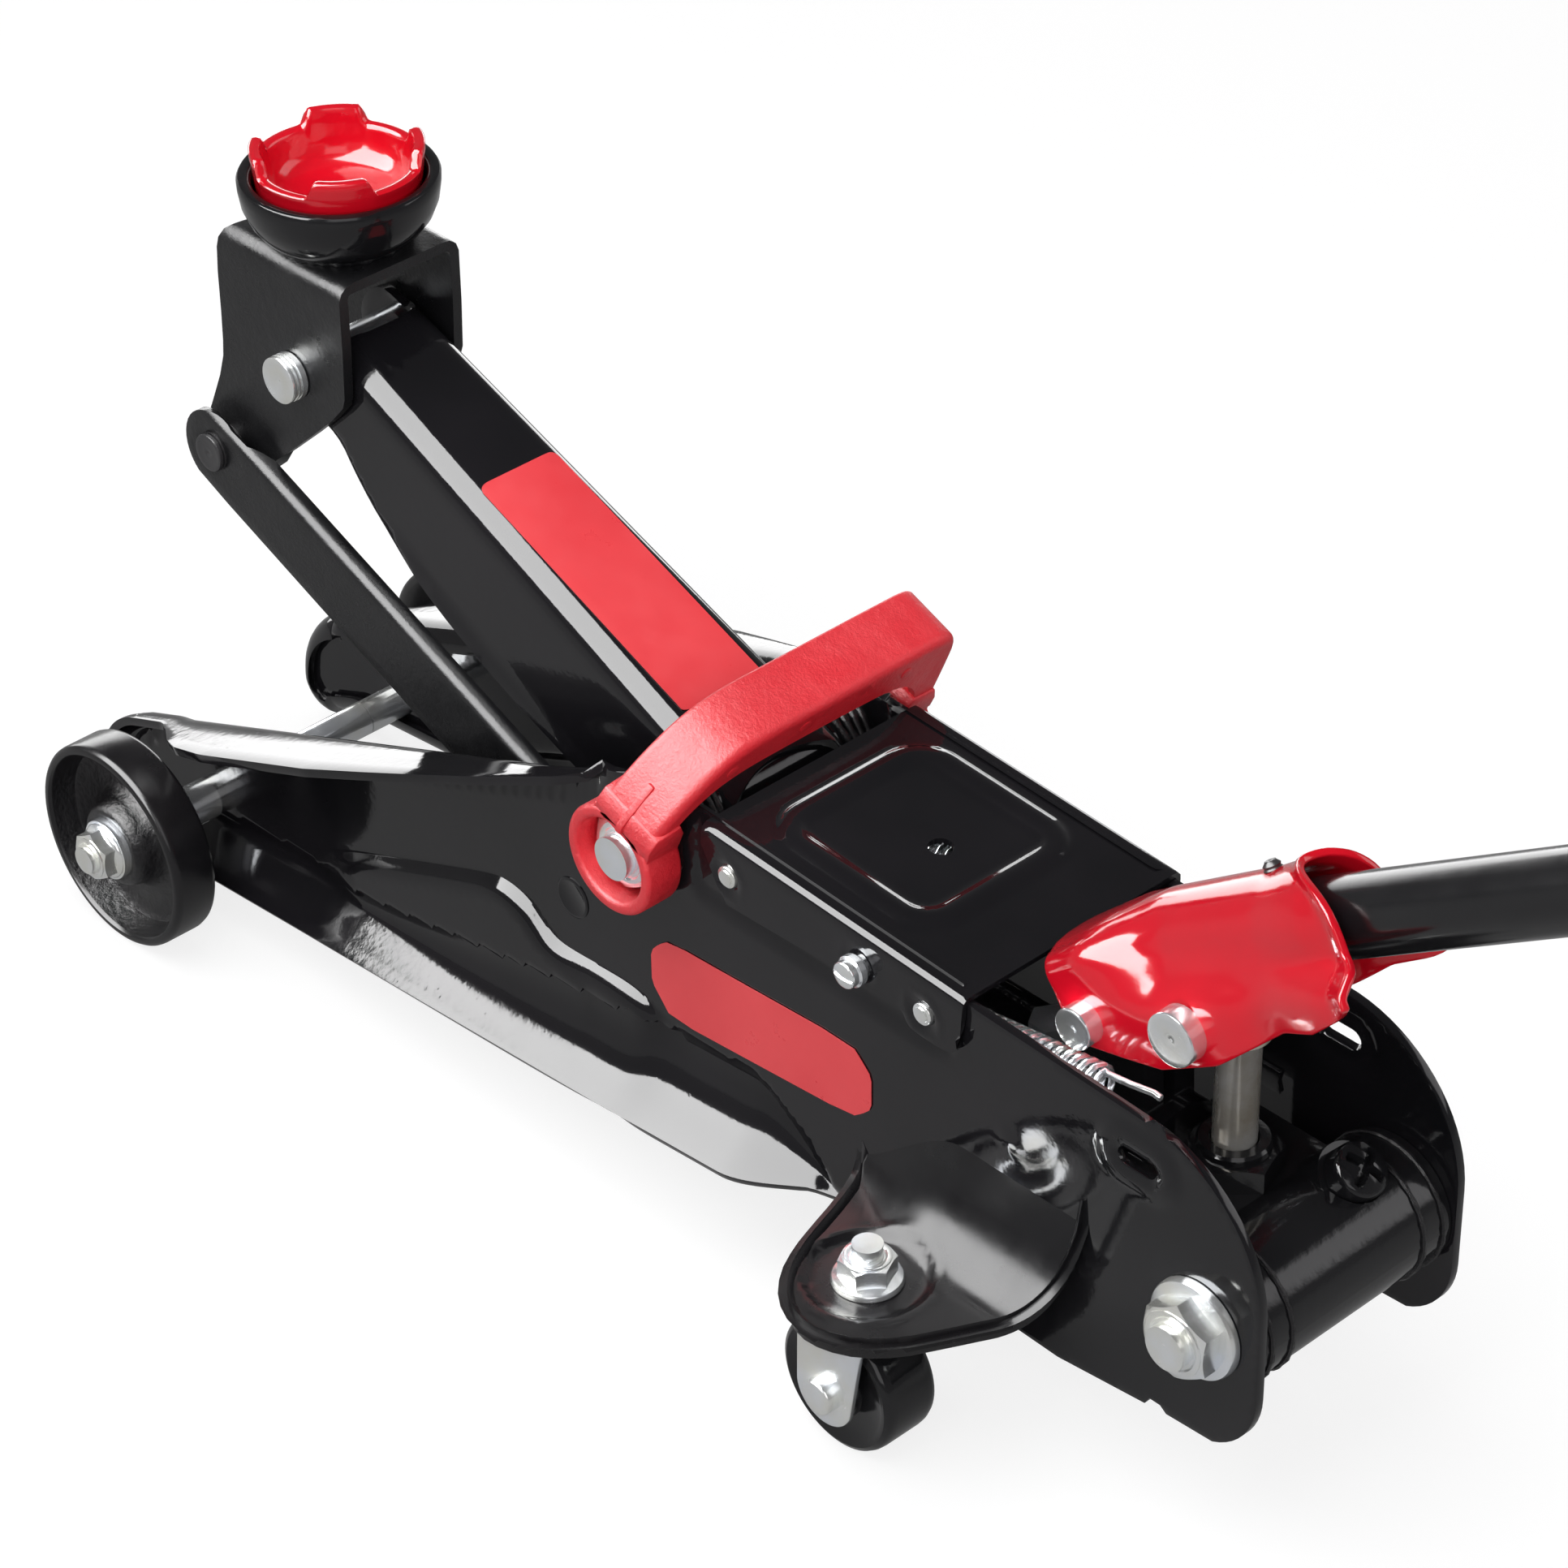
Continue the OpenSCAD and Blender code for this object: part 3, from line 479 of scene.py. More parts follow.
class Fold:
    """A sheet folded down along both sides: hw is half its width, r the bend's outer radius."""

    def __init__(self, hw, r):
        self.hw, self.r = hw, r
        self.flat = hw - r
        self.turned = r * math.pi / 2
        self.bent = self.flat + self.turned

    def at(self, s):
        """Distance s from the middle line, as (y, drop, angle turned)."""
        t = abs(s) - self.flat
        sign = 1 if s > 0 else -1
        if t <= 0:
            return s, 0.0, 0.0
        if t < self.turned:
            a = t / self.r
            return sign * (self.flat + self.r * math.sin(a)), self.r * (1 - math.cos(a)), a
        return sign * self.hw, self.r + t - self.turned, math.pi / 2

    def down(self, drop):
        """The unrolled distance at which a side has dropped this far."""
        return self.bent + drop - self.r

    def rows(self, reach, step, turns):
        """Unrolled distances for fill(), close together in the bends."""
        k = max(1, int(self.flat / step))
        half = [self.flat * i / k for i in range(k)]
        half += [self.flat + self.turned * i / turns for i in range(turns + 1)]
        k = max(1, int((reach - self.bent) / step))
        half += [self.bent + (reach - self.bent) * i / k for i in range(1, k + 1)]
        return sorted([-q for q in half[1:]] + half)

    def sheet(self, half, place, step, holes=(), raise_by=None, smoothing=2, turns=8):
        """half is the unrolled outline for s >= 0 from front to rear, place turns (u, y, up) into a point."""
        loop = list(half) + [(u, -s) for u, s in reversed(half)]
        loop = [q for i, q in enumerate(loop) if i == 0 or math.dist(q, loop[i - 1]) > 1e-6]
        if math.dist(loop[0], loop[-1]) < 1e-6:
            loop.pop()
        loop = dense(rounded(loop, smoothing), step)
        reach = max(abs(q[1]) for q in loop)
        vs, faces = fill(loop, holes, step, rows=self.rows(reach, step, turns))
        lift = raise_by(np.array(vs)) if raise_by is not None else np.zeros(len(vs))
        verts = []
        for (u, s), h in zip(vs, lift):
            y, drop, a = self.at(s)
            sign = 1 if s > 0 else -1
            verts.append(place(u, y + sign * h * math.sin(a), -drop + h * math.cos(a)))
        return verts, faces


# ---- materials ----
def nodes_of(name):
    m = bpy.data.materials.new(name)
    m.use_nodes = True
    t = m.node_tree
    return m, t, t.nodes["Principled BSDF"]


def grain(t, scale, detail=4, rough=0.55, stretch=None):
    """Noise in the object's own space."""
    n = t.nodes.new("ShaderNodeTexNoise")
    n.inputs["Scale"].default_value = scale
    n.inputs["Detail"].default_value = detail
    n.inputs["Roughness"].default_value = rough
    src = t.nodes.new("ShaderNodeTexCoord").outputs["Object"]
    if stretch:
        mp = t.nodes.new("ShaderNodeMapping")
        mp.inputs["Scale"].default_value = stretch
        t.links.new(src, mp.inputs["Vector"])
        src = mp.outputs["Vector"]
    t.links.new(src, n.inputs["Vector"])
    return n.outputs["Fac"]


def ramp(t, src, lo, hi, a, b):
    """A value that goes from a to b as src goes from lo to hi."""
    r = t.nodes.new("ShaderNodeMapRange")
    r.inputs["From Min"].default_value = lo
    r.inputs["From Max"].default_value = hi
    r.inputs["To Min"].default_value = a
    r.inputs["To Max"].default_value = b
    t.links.new(src, r.inputs["Value"])
    return r.outputs["Result"]


def colour(t, bsdf, src, lo, hi, a, b):
    """Base colour from a to b as src goes from lo to hi."""
    r = t.nodes.new("ShaderNodeValToRGB")
    r.color_ramp.elements[0].position = lo
    r.color_ramp.elements[1].position = hi
    r.color_ramp.elements[0].color = (*a, 1)
    r.color_ramp.elements[1].color = (*b, 1)
    t.links.new(src, r.inputs["Fac"])
    t.links.new(r.outputs["Color"], bsdf.inputs["Base Color"])


def bump(t, bsdf, src, strength, dist, chain=None):
    """A bump on the shader, over the one in chain if there is one."""
    b = t.nodes.new("ShaderNodeBump")
    b.inputs["Strength"].default_value = strength
    b.inputs["Distance"].default_value = dist
    t.links.new(src, b.inputs["Height"])
    if chain:
        t.links.new(chain, b.inputs["Normal"])
    t.links.new(b.outputs["Normal"], bsdf.inputs["Normal"])
    return b.outputs["Normal"]


def paint(name, dark, light, rough, orange=0.05, coat=0.0, speck=0.02, ior=1.42):
    """Gloss enamel: slight orange peel, faint dust specks, roughness that varies."""
    m, t, b = nodes_of(name)
    colour(t, b, grain(t, 14, 3), 0.35, 0.7, dark, light)
    t.links.new(ramp(t, grain(t, 60, 5, 0.6), 0.3, 0.75, rough * 0.75, rough * 1.4), b.inputs["Roughness"])
    b.inputs["IOR"].default_value = ior
    b.inputs["Coat Weight"].default_value = coat
    b.inputs["Coat Roughness"].default_value = rough * 0.5
    peel = bump(t, b, grain(t, 420, 3, 0.5), orange, 0.0004)
    if speck:
        v = t.nodes.new("ShaderNodeTexVoronoi")
        v.inputs["Scale"].default_value = 260
        t.links.new(t.nodes.new("ShaderNodeTexCoord").outputs["Object"], v.inputs["Vector"])
        bump(t, b, ramp(t, v.outputs["Distance"], 0.05, 0.13, 1, 0), speck, 0.0003, peel)
    return m


def rough_paint(name, dark, light, rough, scale, strength, dist, ior=1.5):
    """Satin or cast surface with a fine grain under the paint."""
    m, t, b = nodes_of(name)
    colour(t, b, grain(t, 30, 4), 0.35, 0.7, dark, light)
    t.links.new(ramp(t, grain(t, 90, 5, 0.6), 0.3, 0.75, rough * 0.8, rough * 1.25), b.inputs["Roughness"])
    b.inputs["IOR"].default_value = ior
    fine = bump(t, b, grain(t, scale, 6, 0.65), strength, dist)
    bump(t, b, grain(t, scale * 0.22, 3, 0.5), strength * 0.5, dist * 2.5, fine)
    return m


def zinc_plate(name):
    """Bright zinc: metal with faint blue and straw patches and fine drawn lines."""
    m, t, b = nodes_of(name)
    tint, rough = (0.80, 0.83, 0.87), 0.2
    straw = (tint[0] * 0.96, tint[1] * 0.93, tint[2] * 0.84)
    colour(t, b, grain(t, 55, 3), 0.42, 0.66, tint, straw)
    b.inputs["Metallic"].default_value = 0.82
    t.links.new(ramp(t, grain(t, 160, 5, 0.65), 0.3, 0.75, rough * 0.6, rough * 1.5), b.inputs["Roughness"])
    bump(t, b, grain(t, 700, 4, 0.6, stretch=(1, 0.25, 1)), 0.08, 0.0003)
    return m


def ground_steel(name):
    """Ground steel with a film of oil that browns it in patches."""
    m, t, b = nodes_of(name)
    colour(t, b, grain(t, 45, 5, 0.6), 0.42, 0.72, (0.62, 0.61, 0.58), (0.36, 0.30, 0.20))
    b.inputs["Metallic"].default_value = 0.6
    lines = grain(t, 200, 5, 0.6, stretch=(1, 1, 0.15))
    t.links.new(ramp(t, lines, 0.3, 0.7, 0.12, 0.3), b.inputs["Roughness"])
    bump(t, b, lines, 0.06, 0.0002)
    return m


INK = (0.005, 0.005, 0.006)
INK_LIGHT = (0.010, 0.009, 0.010)
INK_GREY = (0.009, 0.009, 0.010)
BLACK = paint("gloss_black", (0.006, 0.006, 0.007), (0.011, 0.010, 0.012), 0.07)
CUP = paint("gloss_black_cup", (0.007, 0.007, 0.008), (0.012, 0.012, 0.013), 0.10, orange=0.10, speck=0.0)
SOFT_BLACK = paint("soft_gloss_black", INK, INK_LIGHT, 0.24, ior=1.35)
SATIN = rough_paint("satin_black_paint", INK, INK_GREY, 0.3, 900, 0.2, 0.0005, 1.4)
CAST = rough_paint("cast_black_paint", INK, INK_LIGHT, 0.22, 420, 0.55, 0.0009, 1.42)
TREAD = rough_paint("tread_black", INK, INK_LIGHT, 0.24, 260, 0.05, 0.0006, 1.42)
TUBE = rough_paint("tube_black", INK, INK_GREY, 0.16, 500, 0.02, 0.0003, 1.42)
RED = paint("gloss_red", (0.56, 0.003, 0.012), (0.66, 0.006, 0.02), 0.12, orange=0.08, coat=0.3)
LABEL = rough_paint("label_film", (0.72, 0.045, 0.055), (0.78, 0.06, 0.07), 0.33, 300, 0.03, 0.0003)
PLASTIC = rough_paint("grained_red_plastic", (0.62, 0.012, 0.022), (0.70, 0.018, 0.03), 0.42, 1150, 0.42,
                      0.0006)
ZINC = zinc_plate("zinc_plate")
DARK_PIN = rough_paint("black_pin", (0.018, 0.018, 0.02), (0.035, 0.033, 0.034), 0.3, 500, 0.1, 0.0004)
GRIP = rough_paint("grip_foam", (0.013, 0.013, 0.014), (0.022, 0.022, 0.023), 0.62, 700, 0.5, 0.0008)
STEEL = ground_steel("ground_steel")

# ---- camera, at the photograph's viewing angle ----
CAMERA_AT, CAMERA_LOOK, CAMERA_ROLL = (979.9, -729.5, 865.4), (200.5, 0, 117.9), -0.76
cam_data = bpy.data.cameras.new("camera")
cam_data.sensor_width = 36
cam_data.sensor_fit = "HORIZONTAL"
cam_data.lens = 117.16
cam_data.clip_start = 0.05
cam_data.clip_end = 20
cam = bpy.data.objects.new("camera", cam_data)
scene.collection.objects.link(cam)
cam.location = to_m(CAMERA_AT)
cam.rotation_mode = "QUATERNION"
cam.rotation_quaternion = ((to_m(CAMERA_LOOK) - to_m(CAMERA_AT)).to_track_quat("-Z", "Y")
                           @ Matrix.Rotation(rad(CAMERA_ROLL), 3, "Z").to_quaternion())
scene.camera = cam


# ---- side plates, drawn in (x, z) ----
TOP_SLOPE = math.atan(0.396)
FOOT_SLOPE = math.atan(0.09)
NOSE = (-18.0, 20.5, 28.0)  # x, z and radius
CHIN = (-34.0, 20.0, 12.0)
FLANGE_REAR = 172.0
FOOT_REAR = 262
REACH = [(-46, 6.0), (-13, 7), (-6, 11), (2, 16.5), (10, 20.0), (25, 22.3), (72, 22.3), (95, 19.8),
         (117, 17.0),
         (132, 14.8), (146, 12.0), (160, 9.0), (168, 5.0), (172, 0.0)]  # the top flange's, at x
RIDGE = [(48, 34.5), (57, 39.5), (92.5, 53.8), (120, 64.6), (128, 67.3), (134, 67.6), (139.5, 66.2),
         (144, 62.6), (148.5, 59.4), (154, 58.2), (163, 58.6), (171, 59.3), (179, 59.6), (184.5, 58.9),
         (188, 56.5), (189.8, 52.5), (191, 46), (193, 38), (198, 20)]
FIELD = rounded(RIDGE, 2, closed=False) + [(48, 0)]
COVER_SEAT = [(205, 140), (205, 108.5), (209, 105.6), (290, 102.4), (296.5, 104.5), (299, 112), (300, 140)]
STUD = (317.5, 88)
SLOT_Z, SLOT_FRONT, SLOT_REAR, SLOT_R = 107, 355, 363, 3.1


def plate_path():
    """The outline anticlockwise from the flange's rear end: (x, z, flange reach, bend radius, bend angle)."""
    path = []
    x = FLANGE_REAR
    while x > NOSE[0] - NOSE[2] * math.sin(TOP_SLOPE):
        e = table(x, REACH)
        z = NOSE[1] + NOSE[2] / math.cos(TOP_SLOPE) + (x - NOSE[0]) * math.tan(TOP_SLOPE)
        path.append((x, z, e, min(5.5, e * 0.5), 90))
        x -= 2.0
    for x, z in arc(*NOSE, 90 + math.degrees(TOP_SLOPE), 180, 22):
        e = table(x, REACH)
        path.append((x, z, e, min(5.5, e * 0.8), 90))
    chin = arc(*CHIN, 180, 270 + math.degrees(FOOT_SLOPE), 14)[1:]
    for i, (x, z) in enumerate(chin):
        path.append((x, z, 6 + 6.5 * i / len(chin), 4.8 + 2.2 * i / len(chin), 90))
    x += 2
    while x < FOOT_REAR:
        z = CHIN[1] - CHIN[2] / math.cos(FOOT_SLOPE) + (x - CHIN[0]) * math.tan(FOOT_SLOPE)
        e = 13.0 + 2.5 * min(1, max(0, (x + 20) / 200))
        if x > 226:
            e *= 0.5 * (1 + math.cos(math.pi * (x - 226) / 38.0))
        k = float(smooth((x - 60) / 130))
        turned = 90 - 36 * float(smooth((x + 46) / 32)) + 11 * k
        r = (1 - k) * 7 + k * 0.95 * e / (1 - math.cos(rad(turned)))
        path.append((x, z, e, r, turned))
        x += 2.0
    rear = [(264, 33.2), (335, 31.5), (364, 35), (365.5, 37.5), (369, 37.5), (371, 36)]
    rear += arc(377, 57, 22, -66, 0, 10) + arc(359, 80, 40, 0, 90, 18)
    rear += [(303, 122.5), (211, 128), (185, 129)]
    rear = dense(rear, 2.2, closed=False) + [(178.5, 128.2), (174.5, 127.0)]
    return path + [(x, z, 0.0, 0.0, 90) for x, z in rear]


def plate_height(pts):
    """How far the pressed shapes stand out of the web, in mm."""
    x, z = np.asarray(pts, float).T
    width = 2.5 + 5 * smooth((x - 186) / 14)
    width += 16 * smooth((60 - z) / 16) * smooth((x - 150) / 20)
    h = 3.3 * smooth((signed(pts, FIELD) + width) / (2 * width)) * smooth((x - 46) / 26)
    h *= 1 - 0.7 * smooth((x - 180) / 40)
    h -= 1.3 * smooth((signed(pts, COVER_SEAT) + 1.6) / 3.2)
    h += 0.6 * np.exp(-(np.hypot(x - STUD[0], z - STUD[1]) / 3.6) ** 2)
    past_slot = np.maximum(np.abs(x - (SLOT_FRONT + SLOT_REAR) / 2) - (SLOT_REAR - SLOT_FRONT) / 2, 0)
    return h + 1.1 * np.exp(-((np.hypot(past_slot, z - SLOT_Z) - 5.6) / 2.5) ** 2)


def inward(pts):
    """The unit normal into a closed anticlockwise outline at each of its points."""
    out = []
    for i in range(len(pts)):
        a, b = pts[i - 1], pts[(i + 1) % len(pts)]
        dx, dz = b[0] - a[0], b[1] - a[1]
        ln = math.hypot(dx, dz) or 1
        out.append((-dz / ln, dx / ln))
    return out


def near_plate():
    """The web, and round it a bend and a flat flange; the skin is the plate's inner face."""
    path = plate_path()
    nrm = inward(path)
    path = [(x + q[0] * min(2.5, e * 0.5), z + q[1] * min(2.5, e * 0.5), e, r, rad(turned))
            for (x, z, e, r, turned), q in zip(path, nrm)]
    flat = [max(0.0, e - r * (1 - math.cos(a))) / math.sin(a) for _, _, e, r, a in path]
    rise = [r * math.sin(a) + f * math.cos(a) for (_, _, _, r, a), f in zip(path, flat)]
    web = [(p[0] + q[0] * t, p[1] + q[1] * t) for p, q, t in zip(path, nrm, rise)]
    slot = dense(arc(SLOT_REAR, SLOT_Z, SLOT_R, -90, 90, 8) + arc(SLOT_FRONT, SLOT_Z, SLOT_R, 90, 270, 8),
                 1.6)
    guides = [shifted(FIELD[:-1], d) for d in (-2.6, -1.7, -0.85, 0, 0.85, 1.7, 2.6)]
    pts, faces = fill(web, [list(reversed(slot))], 1.9, lines=guides)
    skin = [(x, -WEB_IN - h, z) for (x, z), h in zip(pts, plate_height(pts))]
    edge_height = plate_height(web)
    rings = []
    bends, flats = 8, 3
    for k in range(bends + flats + 1):
        ring = []
        for (x, z, _, r, turned), q, h, f, t in zip(path, nrm, edge_height, flat, rise):
            if k <= bends:
                a = turned * k / bends
                out = h * (1 - k / 10) + r * (1 - math.cos(a))
                back = t - r * math.sin(a)
            else:
                run = (k - bends) / flats
                out = h * (0.2 - 0.15 * run) + r * (1 - math.cos(turned)) + f * math.sin(turned) * run
                back = f * math.cos(turned) * (1 - run)
            ring.append((x + q[0] * back, -WEB_IN - out, z + q[1] * back))
        rings.append(ring)
    return join([(skin, faces), grid(rings, closed=True)])


plate = near_plate()
for name, (side, fix) in zip(("near", "far"), SIDES):
    build("side_plate_" + name, fix(plate), BLACK, "chassis", side + "_side_plate", thick=SHEET, offset=1,
          bevel=0.45, bevel_angle=55, sharp=38, weld=0.02)


# ---- frames of the tilted parts: u along, y across, v up ----
def tilt_map(at, angle):
    c, n = math.cos(angle), math.sin(angle)
    return lambda u, y, v: (at[0] + u * c + v * n, y, at[1] - u * n + v * c)


in_arm = tilt_map(PIVOT, ARM_TILT)
in_handle = tilt_map(FULCRUM, -HANDLE_TILT)
in_bail = tilt_map(PIVOT, rad(22))
in_cover = tilt_map((211, 130), rad(3.4))

# ---- lift arm ----
ARM_FOLD = Fold(21, 8)
ARM_SKIN = 17  # the arm's top, above its pivot and pin
ARM_TAPER = 5.0  # how much nearer each side is at the pin
PIN_LINE = ARM_FOLD.down(ARM_SKIN)
arm_half = ([(-160, 0), (-160, 10), (-160.4, 14), (-161.5, 17.5), (-163.5, 20)]
            + arc(-ARM, PIN_LINE, 12.3, -84, -285, 16)
            + [(-151, 43.5), (-140, 50), (-126, 55.5), (-104, 59.5), (-80, 61), (-50, 60), (-20, 57)]
            + arc(0, PIN_LINE, 16, 110, -45, 12) + [(8, 16), (5, 8), (4, 0)])
ARM_LOW = [(u, s) for u, s in arm_half if s > 43 and u > -155]


def arm_relief(pts):
    """The rolled lower lip and the two faint ribs that run back from the ears."""
    u, s = pts[:, 0], np.abs(pts[:, 1])
    near = edge_dist(np.abs(pts) * (-1, 1), ARM_LOW, closed=False)
    lip = 1.3 * smooth((4.2 - near) / 4.2) * (s > 40) * smooth((u + 128) / 24)
    off_rib = np.abs(s - (10.5 + (u + 142) * -0.13))
    return lip + 0.35 * np.exp(-(off_rib / 1.5) ** 2) * smooth((-104 - u) / 20)


def on_arm(u, y, up):
    """A point of the arm's skin, which narrows from the pivot to the pin."""
    pull = ARM_TAPER * max(0.0, -u) / ARM
    return in_arm(u, y - math.copysign(pull * min(1, abs(y) / 12), y), ARM_SKIN + up)


def weld_beads():
    """Four rough beads round one end of the arm's barrel."""
    beads = []
    for k, (y, r) in enumerate([(22.4, 14.6), (24.8, 15.0), (27.4, 14.8), (29.8, 14.5)]):
        ring = [(PIVOT[0] + r * math.cos(w), y + 0.35 * math.sin(5 * w + k), PIVOT[1] + r * math.sin(w))
                for w in turn(60, closed=True)]
        beads.append(tube(ring, [1.15 + 0.18 * math.sin(11 * i * 0.7 + k) for i in range(61)]))
    return join(beads)


def arm_lug(y0, y1, low, r):
    """A lug from the barrel down to z = low, between y0 and y1."""
    line = arc(*PIVOT, 12.5, 0, 180, 14) + arc(PIVOT[0], low, r, 180, 360, 14)
    return slab([(x, -y0, z) for x, z in line], [(x, -y1, z) for x, z in line])


arm = ARM_FOLD.sheet(arm_half, on_arm, 2.6, raise_by=arm_relief, turns=10)
build("lift_arm_sheet", outward(arm, (0.4, 0, 1)), BLACK, "lift_arm", "lift_arm", thick=2.5, bevel=0.5,
      sharp=42)
barrel = [(9.2, -31.5), (13.4, -31.5), (14, -30.9), (14, 30.9), (13.4, 31.5), (9.2, 31.5)]
build("lift_arm_barrel", along_y(lathe(barrel, 64, cap=False), PIVOT, 0), BLACK, "lift_arm")
both("lift_arm_weld", weld_beads(), CAST, "lift_arm", sharp=60)
both("lift_arm_lugs", join([arm_lug(9.5, 13, 74.7, 11), arm_lug(18, 20.5, 92, 7)]), BLACK, "lift_arm",
     bevel=0.5, bevel_angle=40, sharp=35)


def arm_label():
    """The plain red sticker on the arm's top, wrapped a little over its bends."""
    front, rear, half = -103.3, -17.5, 13.6
    outline = [(front, -half), (front, -9), (front, 9), (front, half), (-98, half), (-22, half), (rear, half),
               (rear, -half), (-22, -half), (-98, -half)]
    pts, faces = fill(dense(rounded(outline, 3), 3), step=4)
    out = []
    for u, w in pts:
        y, drop, turned = ARM_FOLD.at(w * (1 + ARM_TAPER * -u / ARM / 16))
        out.append(on_arm(u, y + math.copysign(0.22, y) * math.sin(turned), 0.22 * math.cos(turned) - drop))
    return outward((out, faces), (0.4, 0, 1))


build("arm_label_film", arm_label(), LABEL, "lift_arm", "arm_label", thick=0.2, offset=1, sharp=35)

# ---- cover plate ----
COVER = Fold(38.3, 2.4)
# u, drop, radius, height
COVER_SPOTS = [(9.7, 11.4, 4.6, -1.1), (78.9, 12.3, 4.8, -1.2), (56.8, 11.1, 5.2, -0.7)]
cover_half = [(0, 0), (0, COVER.down(20.8)), (40, COVER.down(17.4)), (68, COVER.down(14.4)),
              (72, COVER.down(15)), (74.5, COVER.down(18.6)), (77, COVER.down(19)), (86, COVER.down(19)),
              (91, COVER.down(17)), (92, COVER.down(12)), (92, 0)]


def cover_relief(pts):
    """The raised rounded-square bead and the dimples round the screws and studs."""
    u, w = pts[:, 0] - 40, np.abs(pts[:, 1])
    q = np.stack([np.abs(u) - 17, w - 16], 1)
    box = np.hypot(*np.maximum(q, 0).T) + np.minimum(q.max(1), 0) - 9.5
    h = 1.5 * (smooth((box + 4.2) / 2.4) - smooth((box - 1.8) / 2.4))
    for cu, drop, r, depth in COVER_SPOTS:
        d = np.hypot(pts[:, 0] - cu, w - COVER.down(drop))
        h += depth * smooth((r - d) / 2.2) - depth * 0.25 * np.exp(-((d - r - 0.6) / 0.9) ** 2)
    return h


hole = list(reversed(dense(arc(46.1, 0, 3.3, 0, 352, 44), 0.6)))
cover = COVER.sheet(cover_half, in_cover, 1.7, holes=[hole], raise_by=cover_relief, smoothing=1, turns=6)
build("cover_sheet", outward(cover, (0, 0, 1)), BLACK, "chassis", "cover_plate", thick=1.5, bevel=0.3)
screws = []
for spot in ((220, 118), (289, 113)):
    screws += [along_y(round_screw(3.1, 1.7, 0.5, cross=True), spot, -37.2),
               along_y(lathe([(2.1, 0), (2.1, 7)], 24), spot, -32)]
both("cover_screw_heads", join(screws), ZINC, "chassis", "cover_screws")
spot = (267, 115.4)
collar = lathe([(2.9, 0), (2.9, 2), (3.9, 2.2), (4.3, 2.6), (4.3, 4.4), (3.7, 4.9), (3.7, 5.2)], 40)
stud = join([along_y(round_screw(3.7, 2.4, 0.55), spot, -41.6), along_y(collar, spot, -36.6)])
both("cover_stud_heads", stud, ZINC, "chassis", "cover_studs")

# ---- carry handle, drawn in its own frame: w along the jack, y across, h up ----
STRAP_FRONT, STRAP_REAR = -8, 10.5
bail_out = rounded([(-50, 12), (-50, 16), (-45.5, 25), (-37, 34), (-28, 40), (-17, 42), (0, 42), (40, 42),
                    (47.5, 41.5), (51, 38), (51, 30), (50.3, 18), (50, 12)], 3, closed=False)
bail_in = rounded([(-44.2, 12), (-44, 15), (-41, 22), (-33, 28.5), (-24, 31.2), (-13, 31.8), (24, 31.6),
                   (33, 30), (39.5, 25.5), (43, 17), (43.3, 12)], 3, closed=False)
bail_out, bail_in = dense(bail_out, 1.3, closed=False), dense(bail_in, 1.3, closed=False)


def strap():
    """The strap's outer skin with its rolled edge, and its rear face."""
    across = [(STRAP_FRONT, 0.9), (-7.7, 0.3), (-7.1, 0)] + [(-6 + 1.9 * k, 0) for k in range(8)]
    across += [(8.1 + 2.4 * math.sin(rad(a)), 2.4 * (1 - math.cos(rad(a)))) for a in range(0, 91, 15)]
    skin = grid([[in_bail(w, y, h) for y, h in shifted(bail_out, -d)] for w, d in across])
    pts, faces = fill(shifted(bail_out, -2.4) + list(reversed(bail_in)), step=2.2)
    rear = ([in_bail(STRAP_REAR, y, h) for y, h in pts], faces)
    return join([flip(outward(skin, (0, 0, -1))), outward(rear, (1, 0, -0.4))])


def prism(pts, w0, w1):
    """An outline in (y, h) extruded from w0 to w1."""
    return slab([in_bail(w0, y, h) for y, h in pts], [in_bail(w1, y, h) for y, h in pts])


def carry_rings():
    """The two rings on the pivot, with the feet, ribs and heels that join the strap to them."""
    ring = [(11.8, 38.2), (14.6, 38.2), (15.5, 39.1), (15.5, 48.9), (15.2, 49.7), (14.4, 50), (12.6, 50),
            (11.8, 49.3), (11.8, 38.2)]
    near_foot = [(-49.8, 12.1), (-50.4, 15.5), (-48.6, 19.5), (-41, 21), (-38.8, 17), (-38.8, 12.1)]
    far_foot = [(49.8, 12.1), (50.4, 15.5), (49, 19.5), (41, 20), (38.8, 17), (38.8, 12.1)]
    near_rib = [(-51.2, 13), (-51, 16), (-44, 27.6), (-42.4, 27), (-47, 13)]
    heel = [(38.6, 8.2), (49.4, 8.2), (49.6, 13), (38.6, 13)]
    near_ring = along_y(lathe([(r, h - 38) for r, h in ring], 72, cap=False), PIVOT, -38)
    parts = [near_ring, prism(near_foot, -9.6, 11.2), prism(near_rib, -0.9, 1.3), prism(far_foot, -9.6, 11.2),
             mirrored(near_ring)]
    for sgn in (-1, 1):
        for w0, w1 in ((-10.4, -8.9), (8.9, 11)):
            parts.append(prism([(sgn * y, h) for y, h in heel], w0, w1))
    return join([outward(q, (0, 0, 0)) for q in parts])


build("carry_strap", strap(), PLASTIC, "carry_handle", "carry_handle", thick=2.7, bevel=0.7, sharp=46,
      weld=0.02, even=True)
build("carry_rings", carry_rings(), PLASTIC, "carry_handle", bevel=0.5, bevel_angle=40)
mark = lathe([(1.9, -0.5), (1.9, 0.12), (1.6, 0.25), (0.001, 0.25)], 24)
rearward = Vector(in_bail(1, 0, 0)) - Vector(in_bail(0, 0, 0))
marks = [aim(mark, in_bail(STRAP_REAR, y, h), rearward) for y, h in ((-27, 33.5), (-3, 36.5), (33, 35.5))]
build("carry_marks", join(marks), PLASTIC, "carry_handle")

